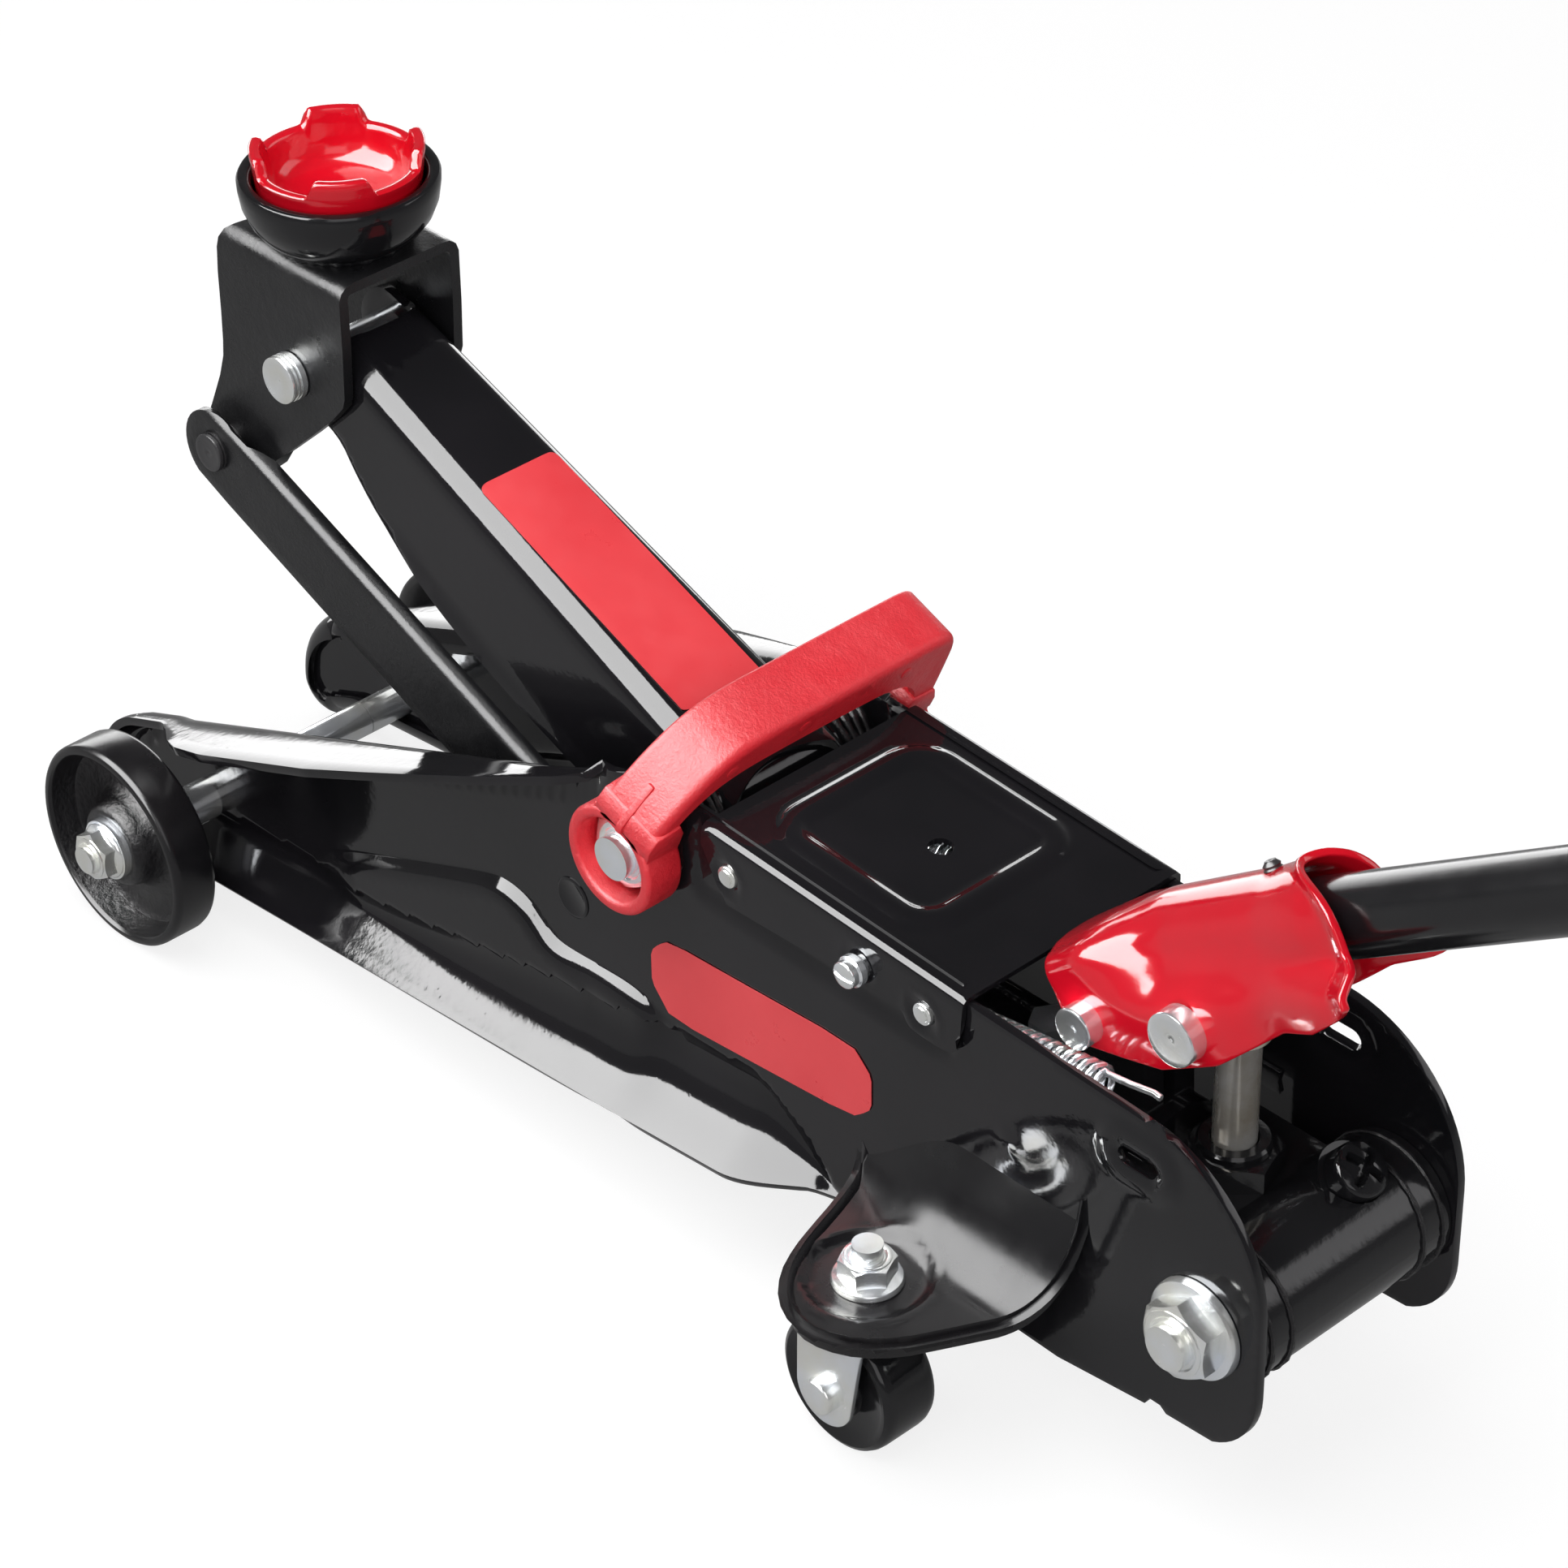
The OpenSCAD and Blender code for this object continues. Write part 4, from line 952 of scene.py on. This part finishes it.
# ---- arm pivot ----
both("arm_pivot_nut", bolted(nut(19, 0, 9.2, 6.4), bolt_end(5.6, 7.4, 11.4), PIVOT, -WEB_OUT), ZINC,
     "chassis", "arm_pivot_nuts", sharp=35)

# ---- front wheels; a profile's second value is the depth below the wheel's outer face ----
WHEEL_FACE, WHEEL_WIDE = 72, 14
web_prof = [(4.1, 1.2), (8, 1.2), (9.2, 0.9), (10.2, 0.5), (11.4, 0.7), (12.4, 1.8), (13.1, 4.6), (14.2, 7.6),
            (16.2, 9), (20, 9.4), (24.4, 9.2), (26.4, 8), (27.3, 5), (27.9, 1.2)]
rim_prof = [(27.9, 1.2), (28.1, 0.5), (28.5, 0.12), (29.5, 0.1), (30.3, 0.45), (30.85, 1.2), (31, 2.2),
            (31, 12.2), (30.7, 13.2), (29.8, 13.8), (28, 14), (14, 14), (12, 13), (4.1, 13)]


def wheel_part(prof):
    return along_y(lathe([(r, WHEEL_WIDE - e) for r, e in prof], 96, cap=False), FRONT_AXLE,
                   WHEEL_WIDE - WHEEL_FACE)


for side, fix in SIDES:
    wheel = "front_wheel_" + side
    hub = bolted(nut(13.2, 1.2, 7.6, 3.9, 8.4, 1.6), bolt_end(3.9, 5.8, 9), FRONT_AXLE, -71.6)
    build("front_wheel_face_" + side, fix(wheel_part(web_prof)), CAST, wheel, wheel)
    build("front_wheel_rim_" + side, fix(wheel_part(rim_prof)), TREAD, wheel)
    build("front_axle_nut_" + side, fix(hub), ZINC, "chassis", "front_axle_nuts", sharp=35)

# ---- casters, drawn for the near side ----
TONGUE_Z = 52.0
FORK = 12.5
SWIVEL_AT = (SWIVEL[0], -SWIVEL[1], 0)
plan = [(264, 36.5), (268, 43), (271.5, 52), (274.5, 62), (277.5, 71), (282, 80), (289, 87.5), (298, 91.6),
        (307, 90.8), (316, 86.2), (323, 78.5), (328.5, 68), (334, 57), (339.5, 47), (343, 40), (344.5, 36.5)]
plan = dense(rounded(plan, 1, closed=False), 2.2, closed=False)


def blend(x):
    """How far out and how far up the caster bracket curves into the web at x, and the curve's length."""
    k = float(smooth((x - 258) / 44))
    a, b = 3 + 18 * k, 6 + 28 * k
    return a, b, math.pi / 2 * math.sqrt((a * a + b * b) / 2)


def unrolled(x, y):
    """Distance along the curved section from the web's top down and out to y."""
    a, _, bent = blend(x)
    d = y - WEB_OUT
    if d >= a:
        return bent + d - a
    return bent * math.acos(max(-1, min(1, 1 - d / a))) / (math.pi / 2)


def bracket_point(x, t):
    """A point of the bracket's top at an unrolled distance, with the dished seat under the nut."""
    a, b, bent = blend(x)
    if t >= bent:
        y, z = WEB_OUT + a + t - bent, TONGUE_Z
    else:
        w = t / bent * math.pi / 2
        y, z = WEB_OUT + a * (1 - math.cos(w)), TONGUE_Z + b * (1 - math.sin(w))
    y -= 1.1 * (1 - float(smooth(t / 14)))
    d = math.hypot(x - SWIVEL[0], y - SWIVEL[1])
    z += -1.5 * float(smooth((16.6 - d) / 1.6)) + 0.35 * math.exp(-((d - 17.6) / 1.1) ** 2)
    return x, -y, z


def caster_bracket():
    """The bracket's top and the skirt rolled down round its free edge."""
    flat_plan = [(x, unrolled(x, y)) for x, y in plan]
    loop = flat_plan[:]
    x = plan[-1][0] - 2.2
    while x > plan[0][0] + 1:
        loop.append((x, 0.0))
        x -= 2.2
    pts, faces = fill(loop, step=1.9)
    edge = [bracket_point(*q) for q in flat_plan]
    out = shifted([(q[0], q[1]) for q in edge], 1.0)
    rows = [edge]
    for a in (30, 60, 90):
        reach, drop = 2.2 * math.sin(rad(a)), 2.2 * (1 - math.cos(rad(a)))
        rows.append([(c[0] + (o[0] - c[0]) * reach, c[1] + (o[1] - c[1]) * reach, c[2] - drop)
                     for c, o in zip(edge, out)])
    rows.append([(q[0], q[1], q[2] - 2.4) for q in rows[-1]])
    return join([outward(([bracket_point(*q) for q in pts], faces), (0, 0, 1)),
                 outward(grid(rows), (0, -1, 0))])


def caster_fork():
    """Two cheeks and the crown between them."""
    front, rear = SWIVEL[0] - 12, SWIVEL[0] + 11
    low = [(CASTER_AXLE[0] + 9.6 * math.cos(rad(a)), CASTER_AXLE[1] + 9.6 * math.sin(rad(a)))
           for a in range(175, 350, 12)]
    pts, faces = fill(dense(rounded([(rear, 47), (front, 47)] + low, 1), 1.8), step=2.4)
    parts = [outward(([(x, sgn * FORK - SWIVEL[1], z) for x, z in pts], faces), (0, sgn, 0))
             for sgn in (-1, 1)]
    near, far = -SWIVEL[1] - FORK, -SWIVEL[1] + FORK
    pts, faces = fill(dense(rounded([(front, near), (rear, near), (rear, far), (front, far)], 1), 2), step=3)
    parts.append(outward(([(x, y, 46.6) for x, y in pts], faces), (0, 0, 1)))
    return join(parts)


rivet = lathe([(5, 0), (5, 2.1), (4.75, 2.7), (4.2, 3), (2.6, 3.15), (1, 3.2), (0.001, 3.2)], 40)
rivets = join([along_y(rivet, CASTER_AXLE, sgn * FORK - SWIVEL[1], sgn) for sgn in (-1, 1)])
tyre_half = [(2.6, 9.5), (7.6, 9.5), (8.4, 9), (8.8, 7.8), (14.8, 7.6), (16, 8.3), (17.4, 8.5), (18.6, 7.8),
             (19.1, 6.6), (19.25, 5)]
tyre = lathe([(r, -h) for r, h in tyre_half] + list(reversed(tyre_half)), 72, cap=False)
top_nut = join([stand(nut(13, 50.4, 58.4, 3.9, 9.2, 1.7), SWIVEL_AT, 0.4),
                stand(bolt_end(3.9, 56, 62), SWIVEL_AT)])
bracket, cheeks = caster_bracket(), caster_fork()
for side, fix in SIDES:
    fork = "caster_fork_" + side
    build("caster_bracket_sheet_" + side, fix(bracket), SOFT_BLACK, "chassis", "caster_bracket_" + side,
          thick=2.4, bevel=0.4, sharp=42, weld=0.02)
    build("caster_top_nut_" + side, fix(top_nut), ZINC, "chassis", "caster_nuts", sharp=35)
    build("caster_fork_sheet_" + side, fix(cheeks), ZINC, fork, fork, thick=1.8, bevel=0.4)
    build("caster_rivets_" + side, fix(rivets), ZINC, fork, "caster_axle_" + side)
    build("caster_tyre_" + side, fix(along_y(tyre, CASTER_AXLE, -SWIVEL[1])), CUP, "caster_wheel_" + side,
          "caster_wheel_" + side, sharp=38)

# ---- saddle ----
SADDLE = (PIN[0] - 1, 0.0, BRACKET_TOP)
LUG_TURN = 37  # degrees
cup_prof = [(5, 0), (16, 0), (19, 1), (22.2, 3.3), (24.6, 6.6), (26.2, 10.6), (26.9, 15), (27, 17.4),
            (26.5, 18.3), (25.8, 18.5), (24.3, 18.5), (23.6, 18.1), (23, 17), (22.6, 12), (21, 7.2),
            (17.6, 4.6), (15, 3.7), (5, 3.5), (5, 0)]
# r, z, share of a lug's rise
pad_prof = [(0.001, -8, 0), (4.95, -8, 0), (4.95, 3.9, 0), (14, 3.9, 0), (18.2, 5.8, 0), (20.9, 9.6, 0),
            (21.9, 13.4, 0), (22.3, 18, 0), (22.7, 20, 0.25), (23.1, 21, 0.7), (23.2, 21.6, 0.97),
            (22.7, 22, 1), (21.6, 22, 1), (20.4, 21.8, 0.98), (19.9, 21.1, 0.85), (19.6, 19.8, 0.5),
            (19.2, 18, 0.2), (18.5, 15.4, 0), (17, 13.2, 0), (14.6, 11.9, 0), (10, 11, 0), (5, 10.6, 0),
            (0.001, 10.5, 0)]


def lug_at(w):
    """Height of the rim's four lugs round the saddle, from 0 to 1."""
    off = abs((math.degrees(w) + LUG_TURN + 45) % 90 - 45)
    return float(smooth((24.5 - off) / 7.5))


def cup_weld():
    """The rough bead between the cup and the bracket."""
    ring, size = [], []
    for w in turn(120, closed=True):
        ring.append((SADDLE[0] + (17.2 + 0.35 * math.sin(13 * w)) * math.cos(w),
                     (17.2 + 0.3 * math.cos(9 * w)) * math.sin(w), BRACKET_TOP + 0.7))
        size.append(1.7 + 0.35 * math.sin(31 * w) + 0.2 * math.sin(17 * w + 1))
    return tube(ring, size)


pad = grid([[(r * math.cos(w), r * math.sin(w), z + 4.5 * rise * lug_at(w)) for w in turn(192)]
            for r, z, rise in pad_prof], closed=True)
build("saddle_cup_shell", stand(lathe(cup_prof, 96, cap=False), SADDLE), CUP, "saddle_bracket", "saddle_cup",
      sharp=38)
build("saddle_cup_weld", cup_weld(), CUP, "saddle_bracket", sharp=70)
build("saddle_pad", stand(pad, SADDLE), RED, "saddle", "saddle", sharp=50)

# ---- saddle bracket ----
BRACKET = Fold(20.5, 4.5)


def bracket_s(z):
    return BRACKET.down(BRACKET_TOP - z)


ear = [(HIGH[0] + 11 * math.cos(rad(a)), bracket_s(HIGH[1] + 11 * math.sin(rad(a)))) for a in range(-216, -59,
                                                                                                    12)]
bracket_half = ([(HIGH[0] + 7, 0), (HIGH[0] + 5.5, BRACKET.flat), (HIGH[0] + 2, BRACKET.bent - 2),
                 (HIGH[0], bracket_s(203)), (HIGH[0], bracket_s(178)), (HIGH[0] - 1, bracket_s(168))] + ear
                + [(PIN[0] + 2, bracket_s(157)), (PIN[0] + 20, bracket_s(174)), (PIN[0] + 22, bracket_s(180)),
                   (PIN[0] + 22, 0)])
cheek_sheet = BRACKET.sheet(bracket_half, lambda x, y, up: (x, y, BRACKET_TOP + up), 2.6, turns=6,
                            smoothing=1)
build("saddle_bracket_sheet", outward(cheek_sheet, (0, 0, 1)), SATIN, "saddle_bracket", "saddle_bracket",
      thick=3, bevel=0.7, segs=3, sharp=42)
build("bracket_pin_turned", pin(PIN, 6, 25.8, 6.7, 2, 20.9), ZINC, "lift_arm", "bracket_pin", sharp=38)
build("link_upper_pin_turned", pin(HIGH, 5.45, 29, 5.5, 2, 26.8), DARK_PIN, "saddle_bracket",
      "link_upper_pin", sharp=38)
low_pin = lathe([(6, 23.7), (8, 23.7), (8, 23.2), (6, 23.2), (6, 27.3), (9, 27.3), (9, 33.9), (6, 34),
                 (6, 36.75), (5.6, 36.95), (5.1, 36.95), (4.8, 36.8), (0.001, 36.85)], 56)
both("link_low_pins", along_y(low_pin, LOW, 0), BLACK, "chassis", "link_lower_pins", sharp=35)

# ---- links ----
LINK = math.hypot(LOW[0] - HIGH[0], LOW[1] - HIGH[1])
LINK_BEND, LINK_R = 9, 2.7  # where the upper flange starts to bend, and its radius


def near_link():
    """A strip between two eyes, with a flange turned outward along its top, in (a, b) from the upper eye."""
    along = ((LOW[0] - HIGH[0]) / LINK, (LOW[1] - HIGH[1]) / LINK)
    line = ([(12 * math.cos(rad(a)), 12 * math.sin(rad(a))) for a in range(74, 262, 10)] + [(10, -12),
                                                                                            (LINK - 12, -12)]
            + [(LINK + 13 * math.cos(rad(a)), 13 * math.sin(rad(a))) for a in range(-86, 76, 10)]
            + [(LINK - 17, 12), (LINK - 21, 14), (LINK - 24, 15.5), (18, 15.5), (14, 14), (10, 11.8)])
    eyes = [list(reversed(circle((c, 0), r, 40))) for c, r in ((0, 5.6), (LINK, 6.1))]
    bend = [LINK_BEND + 4.2 * i / 6 for i in range(7)]
    pts, faces = fill(dense(line, 2.4), eyes, 2.6, rows=[-11 + 2.5 * i for i in range(8)] + bend + [14.4])
    out = []
    for a, b in pts:
        w = min(max(b - LINK_BEND, 0) / LINK_R, math.pi / 2)
        y = -27 + LINK_R * (1 - math.cos(w)) + max(0, b - LINK_BEND - LINK_R * math.pi / 2)
        b = min(b, LINK_BEND) + LINK_R * math.sin(w)
        out.append((HIGH[0] + a * along[0] - b * along[1], y, HIGH[1] + a * along[1] + b * along[0]))
    return outward((out, faces), (0, -1, 0))


link = near_link()
for name, (side, fix) in zip(("near", "far"), SIDES):
    build("link_sheet_" + name, fix(link), SATIN, "links", "link_" + side, thick=2.6, bevel=0.6, sharp=42)


# ---- handle socket: u along the handle, v up from its fulcrum ----
TUBE_V = 11.6  # the handle's axis
ROOF = [(-15, 17.3), (5, 21), (23, 23.6), (62, 25.2), (72, 26.4), (79, 26.9), (97, 26)]
SILL = [(-15, -1), (-9, -3.5), (-3.4, -6.5), (8, -10.5), (20, -14.3), (40, -14.5), (55, -11), (67, -7.9),
        (79, -8), (90, -5), (97, -1.5)]


def socket_section(u):
    """Half of the socket's section at u as (y, v), from the roof's middle down: a box closing on the tube."""
    n = 30
    roof, sill = table(u, ROOF), table(u, SILL)
    box = [(0, roof), (5, roof - 0.15), (10, roof - 0.7), (14, roof - 1.8)]
    box += [(14 + 6 * math.sin(rad(a)), roof - 7.8 + 6 * math.cos(rad(a))) for a in range(15, 91, 15)]
    box += [(20, sill)]
    r = roof - 11.8
    hug = [(r * math.sin(rad(a)), 11.8 + r * math.cos(rad(a))) for a in range(0, 96, 8)]
    if sill < -4.5:
        hug += [(14.6, 7.2), (16.4, 4.6), (18.4, 2.2), (19.7, -1), (20, -4), (20, sill)]
    else:
        hug += [(14.8, 7.5), (17.5, 4.5), (20, 1.5), (20.3, sill)]
    k = float(smooth((u - 2) / 26))
    sec = resample(box, n) * (1 - k) + resample(hug, n) * k
    sec[:, 0] += 3.2 * float(smooth((u - 64) / 26)) * smooth((9 - sec[:, 1]) / 9)
    pinch = 1.6 * math.exp(-((u - 58) / 9) ** 2)
    sec[:, 0] -= pinch * smooth((8 - sec[:, 1]) / 6) * smooth((sec[:, 0] - 12) / 6)
    return sec


def socket():
    """The pressed socket; its near wing runs further back along the tube than the far one."""
    rows = []
    for i in range(61):
        p = i / 60
        guess = socket_section(-14 + 104 * p)
        lip = 1 + 0.09 * float(smooth((p - 0.955) / 0.045))
        halves = []
        for sgn, wing in ((-1, 22.6), (1, 7)):
            half = []
            for j, (y0, _) in enumerate(guess):
                front = -14.6 + 6.9 * min(1, y0 / 20) ** 2
                rear = 74 + wing * float(smooth(y0 / 20))
                u = front + (rear - front) * p
                y, v = socket_section(u)[j]
                half.append(in_handle(u, sgn * y * lip, TUBE_V + (v - TUBE_V) * (lip if v > TUBE_V else 1)))
            halves.append(half)
        rows.append(list(reversed(halves[0]))[:-1] + halves[1])
    return outward(grid(rows), (0, 0, 1))


def grip():
    """The foam grip with its rings of grooves, closed at the far end."""
    prof = [(10.05, 0), (12.6, 0), (13.3, 0.8)]
    for k in range(16):
        z = 6 + k * 6.6
        prof += [(13.5, z), (13.5, z + 4.2), (13.2, z + 4.9), (12.7, z + 5.3), (13.2, z + 5.8)]
    return lathe(prof + [(13.5, 113), (13.4, 116), (12.9, 118.6), (11.5, 119.8), (9, 120), (0.001, 120)],
                 cap=False)


handle_at = Vector(in_handle(0, 0, 0))
handle_along, handle_up = Vector(in_handle(1, 0, 0)) - handle_at, Vector(in_handle(0, 0, 1)) - handle_at
build("handle_socket_sheet", socket(), RED, "handle", "handle_socket", thick=2.2, bevel=0.6, segs=3, sharp=50)
build("fulcrum_pin_turned", pin(FULCRUM, 4.5, 25, 5.6, 0, 19.5, dish=0.1), ZINC, "handle", "fulcrum_pin",
      sharp=38)
build("plunger_pin_turned", pin(PUSH, 5.2, 25, 7.2, 0, 19.5, dish=0.1), ZINC, "handle", "plunger_pin",
      sharp=38)
build("clamp_screw_stub", aim(bolt_end(2.4, 0, 5.6, 1.0, 0.35), in_handle(62, 0, 21.8), handle_up), DARK_PIN,
      "handle", "clamp_screw")
build("handle_grip_foam", aim(grip(), in_handle(440, 0, TUBE_V), handle_along), GRIP, "handle", "handle_grip",
      sharp=50)

# ---- hydraulic unit, as far as it is seen ----
weld_rings = []
for y in (23.5, 30.6):
    line = [(REAR[0] + 18.1 * math.cos(w), y, REAR[1] + 18.1 * math.sin(w)) for w in turn(72, closed=True)]
    weld_rings.append(tube(line, [0.8 + 0.15 * math.sin(i * 1.9) for i in range(73)]))
both("unit_weld_rings", join(weld_rings), CAST, "chassis")
pump_at = (PUSH[0], 0, 0)
gland = lathe([(9.4, 90.5), (9.4, 92.6), (8.8, 93.4), (6.2, 93.4), (5.75, 92.6)], 48, cap=False)
build("pump_gland_hex", join([stand(hex_prism(22, 84, 91), pump_at, 0.3), stand(gland, pump_at)]), CUP,
      "chassis", "pump_gland_nut", sharp=35)
plunger = lathe([(0.001, 74), (5.6, 74), (5.6, 123.6), (6, 124.2), (7.4, 124.4), (8, 125), (8, 128.6),
                 (7.5, 129.2), (0.001, 129.2)], 56, cap=False)
build("pump_plunger_ground", stand(plunger, pump_at), STEEL, "plunger", "pump_plunger")
VALVE_AT, VALVE_AXIS = Vector((374, 14, 78)), Vector((math.sin(rad(40)), 0, math.cos(rad(40))))
valve_head = aim(round_screw(7.4, 7.6, 1.15, cross=True), VALVE_AT + VALVE_AXIS * 12.35, VALVE_AXIS, 0.5)
valve_thread = aim(bolt_end(5, 4, 13, 1.2, 0.4), VALVE_AT, VALVE_AXIS)
build("release_screw", join([valve_head, valve_thread]), CUP, "release_valve", "release_valve")

# ---- rear bolt ----
both("rear_flange_nuts", bolted(nut(19, 0, 9.4, 6.4, 13.5, 2.6), bolt_end(5.6, 7.4, 11.8), REAR, -WEB_OUT),
     ZINC, "chassis", "rear_nuts", sharp=35)

# ---- return springs ----
SPRING_Y, SPRING_TURNS, SPRING_R, WIRE = 26.5, 44, 4.3, 0.95


def spring(sgn):
    """A close coil between the arm's anchor and the chassis, with a hook at each end."""
    a, b = Vector((PIVOT[0], sgn * SPRING_Y, 92)), Vector((357, sgn * SPRING_Y, 115.5))
    along = (b - a).normalized()
    side = Vector((0, 1, 0))
    up = along.cross(side).normalized()
    hook = [(0, 3.6), (2, 4.2), (10, 3.7), (17, 3.7)]
    wire = [a + along * d + up * h for d, h in hook]
    steps = SPRING_TURNS * 12
    for i in range(steps + 1):
        w = 2 * math.pi * i / 12
        centre = a + along * (18 + ((b - a).length - 36) * i / steps)
        wire.append(centre + (up * math.cos(w) + side * math.sin(w)) * SPRING_R)
    wire += [b - along * d + up * h for d, h in reversed(hook)]
    return tube(wire, WIRE, 6)


for sgn, side in ((-1, "left"), (1, "right")):
    coil = build("return_spring_coil_" + side, spring(sgn), ZINC, None, "return_spring_" + side, sharp=60)
    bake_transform(coil)


# ---- side labels ----
def side_label():
    """The plain red sticker, on the pressed web."""
    line = [(189, 68), (189, 73), (189, 78), (192, 81.5), (196, 84.5), (220, 85.8), (263, 88.5), (267, 85),
            (270, 82), (270, 77), (270, 72), (267, 69), (263, 66), (230, 63), (196, 60), (192.5, 64)]
    pts, faces = fill(dense(rounded(line, 1), 2.2), step=2.4)
    skin = [(x, -WEB_OUT - 0.22 - h, z) for (x, z), h in zip(pts, plate_height(pts))]
    return outward((skin, faces), (0, -1, 0))


both("side_label_film", side_label(), LABEL, "chassis", "side_labels", sharp=60, thick=0.15, offset=1)

# ---- materials of the CAD nodes that stay ----
STAY = {"power_unit": CUP, "ram_cylinder": BLACK, "ram_gland": SATIN, "ram": STEEL, "front_axle": ZINC,
        "axle_sleeves": ZINC, "wheel_spacers": ZINC, "front_axle_washers": ZINC, "caster_bolts": ZINC,
        "crosshead_pin": ZINC, "spring_pins": ZINC, "arm_pivot_shaft": ZINC, "saddle_clip": CUP,
        "filler_plug": ZINC, "rear_bolt": ZINC, "handle_lower_tube": TUBE, "handle_upper_tube": TUBE,
        "handle_joint_screw": ZINC}
for node, mat in STAY.items():
    for slot in NODES[node].material_slots:
        slot.material = mat

# ---- floor: pale, and brighter to the camera's rays than in reflections ----
floor_bm = bmesh.new()
bmesh.ops.create_grid(floor_bm, x_segments=2, y_segments=2, size=6)
floor_me = bpy.data.meshes.new("floor")
floor_bm.to_mesh(floor_me)
floor_bm.free()
floor = bpy.data.objects.new("floor", floor_me)
scene.collection.objects.link(floor)
floor_mat, floor_tree, floor_shader = nodes_of("pale_floor")
floor_shader.inputs["Base Color"].default_value = (0.24, 0.24, 0.24, 1)
floor_shader.inputs["Roughness"].default_value = 0.9
floor_shader.inputs["Specular IOR Level"].default_value = 0.0
floor_shader.inputs["Emission Color"].default_value = (1, 1, 1, 1)
glow = floor_tree.nodes.new("ShaderNodeMath")
glow.operation = "MULTIPLY_ADD"
glow.inputs[1].default_value = 0.62
glow.inputs[2].default_value = 0.18
floor_tree.links.new(floor_tree.nodes.new("ShaderNodeLightPath").outputs["Is Camera Ray"], glow.inputs[0])
floor_tree.links.new(glow.outputs[0], floor_shader.inputs["Emission Strength"])
floor_me.materials.append(floor_mat)

# ---- surroundings: a dim sky that brightens downward, with two soft panels ----
world = bpy.data.worlds.new("studio")
scene.world = world
world.use_nodes = True
sky_tree = world.node_tree
background = sky_tree.nodes["Background"]
sky = sky_tree.nodes.new("ShaderNodeTexCoord").outputs["Generated"]


def maths(op, *vals):
    n = sky_tree.nodes.new("ShaderNodeMath")
    n.operation = op
    for i, v in enumerate(vals):
        if isinstance(v, (int, float)):
            n.inputs[i].default_value = v
        else:
            sky_tree.links.new(v, n.inputs[i])
    return n.outputs[0]


def dot(axis):
    n = sky_tree.nodes.new("ShaderNodeVectorMath")
    n.operation = "DOT_PRODUCT"
    sky_tree.links.new(sky, n.inputs[0])
    n.inputs[1].default_value = tuple(axis)
    return n.outputs["Value"]


def soft_step(value, lo, hi):
    n = sky_tree.nodes.new("ShaderNodeMapRange")
    n.interpolation_type = "SMOOTHSTEP"
    n.inputs["From Min"].default_value = lo
    n.inputs["From Max"].default_value = hi
    sky_tree.links.new(value, n.inputs["Value"])
    return n.outputs["Result"]


def panel(direction, wide, high, edge, radiance):
    """A soft rectangular light seen in one direction, sized by the sines of its half angles."""
    d = Vector(direction).normalized()
    right = d.cross(Vector((0, 0, 1))).normalized()
    up = right.cross(d)
    w = soft_step(maths("ABSOLUTE", dot(right)), wide + edge, wide)
    h = soft_step(maths("ABSOLUTE", dot(up)), high + edge, high)
    return maths("MULTIPLY", maths("MULTIPLY", maths("MULTIPLY", w, h), soft_step(dot(d), 0.1, 0.3)),
                 radiance)


light = maths("MULTIPLY_ADD", soft_step(dot((0, 0, 1)), 0.75, -0.1), 0.16, 0.10)
light = maths("ADD", light, panel((0.75, -0.55, 0.5), 0.22, 0.25, 0.1, 1.6))
light = maths("ADD", light, panel((0.5, 0.8, 0.45), 0.3, 0.2, 0.1, 2.0))
sky_tree.links.new(light, background.inputs["Strength"])
background.inputs["Color"].default_value = (1.0, 0.985, 1.0, 1)


# ---- lamps ----
def softbox(name, at, facing, wide, high, radiance, diffuse, glossy):
    """A rectangular lamp, at metres from the jack's middle, that lights either matt or glossy reflection."""
    data = bpy.data.lights.new(name, "AREA")
    data.shape = "RECTANGLE"
    data.size, data.size_y = wide, high
    data.energy = radiance * math.pi * wide * high
    lamp = bpy.data.objects.new(name, data)
    scene.collection.objects.link(lamp)
    lamp.location = to_m((180, 0, 110)) + Vector(at)
    lamp.rotation_mode = "QUATERNION"
    lamp.rotation_quaternion = Vector(facing).to_track_quat("Z", "Y")
    lamp.visible_diffuse = diffuse
    lamp.visible_glossy = glossy
    lamp.visible_camera = False


softbox("strip_near", (-0.62, -0.75, 0.92), (0, -0.64, 0.77), 1.7, 1.56, 17, False, True)
softbox("wall_far", (-0.91, 0.62, 0.02), (-0.83, 0.56, 0.0), 1.3, 0.5, 4.6, False, True)
softbox("overhead", (-0.15, -0.55, 1.5), (-0.1, -0.35, 0.93), 1.7, 1.5, 3.2, True, False)
softbox("fill_camera", (0.74, -1.2, 0.74), (0.45, -0.75, 0.45), 1.2, 1.0, 2.3, True, False)

scene.view_settings.view_transform = "Standard"
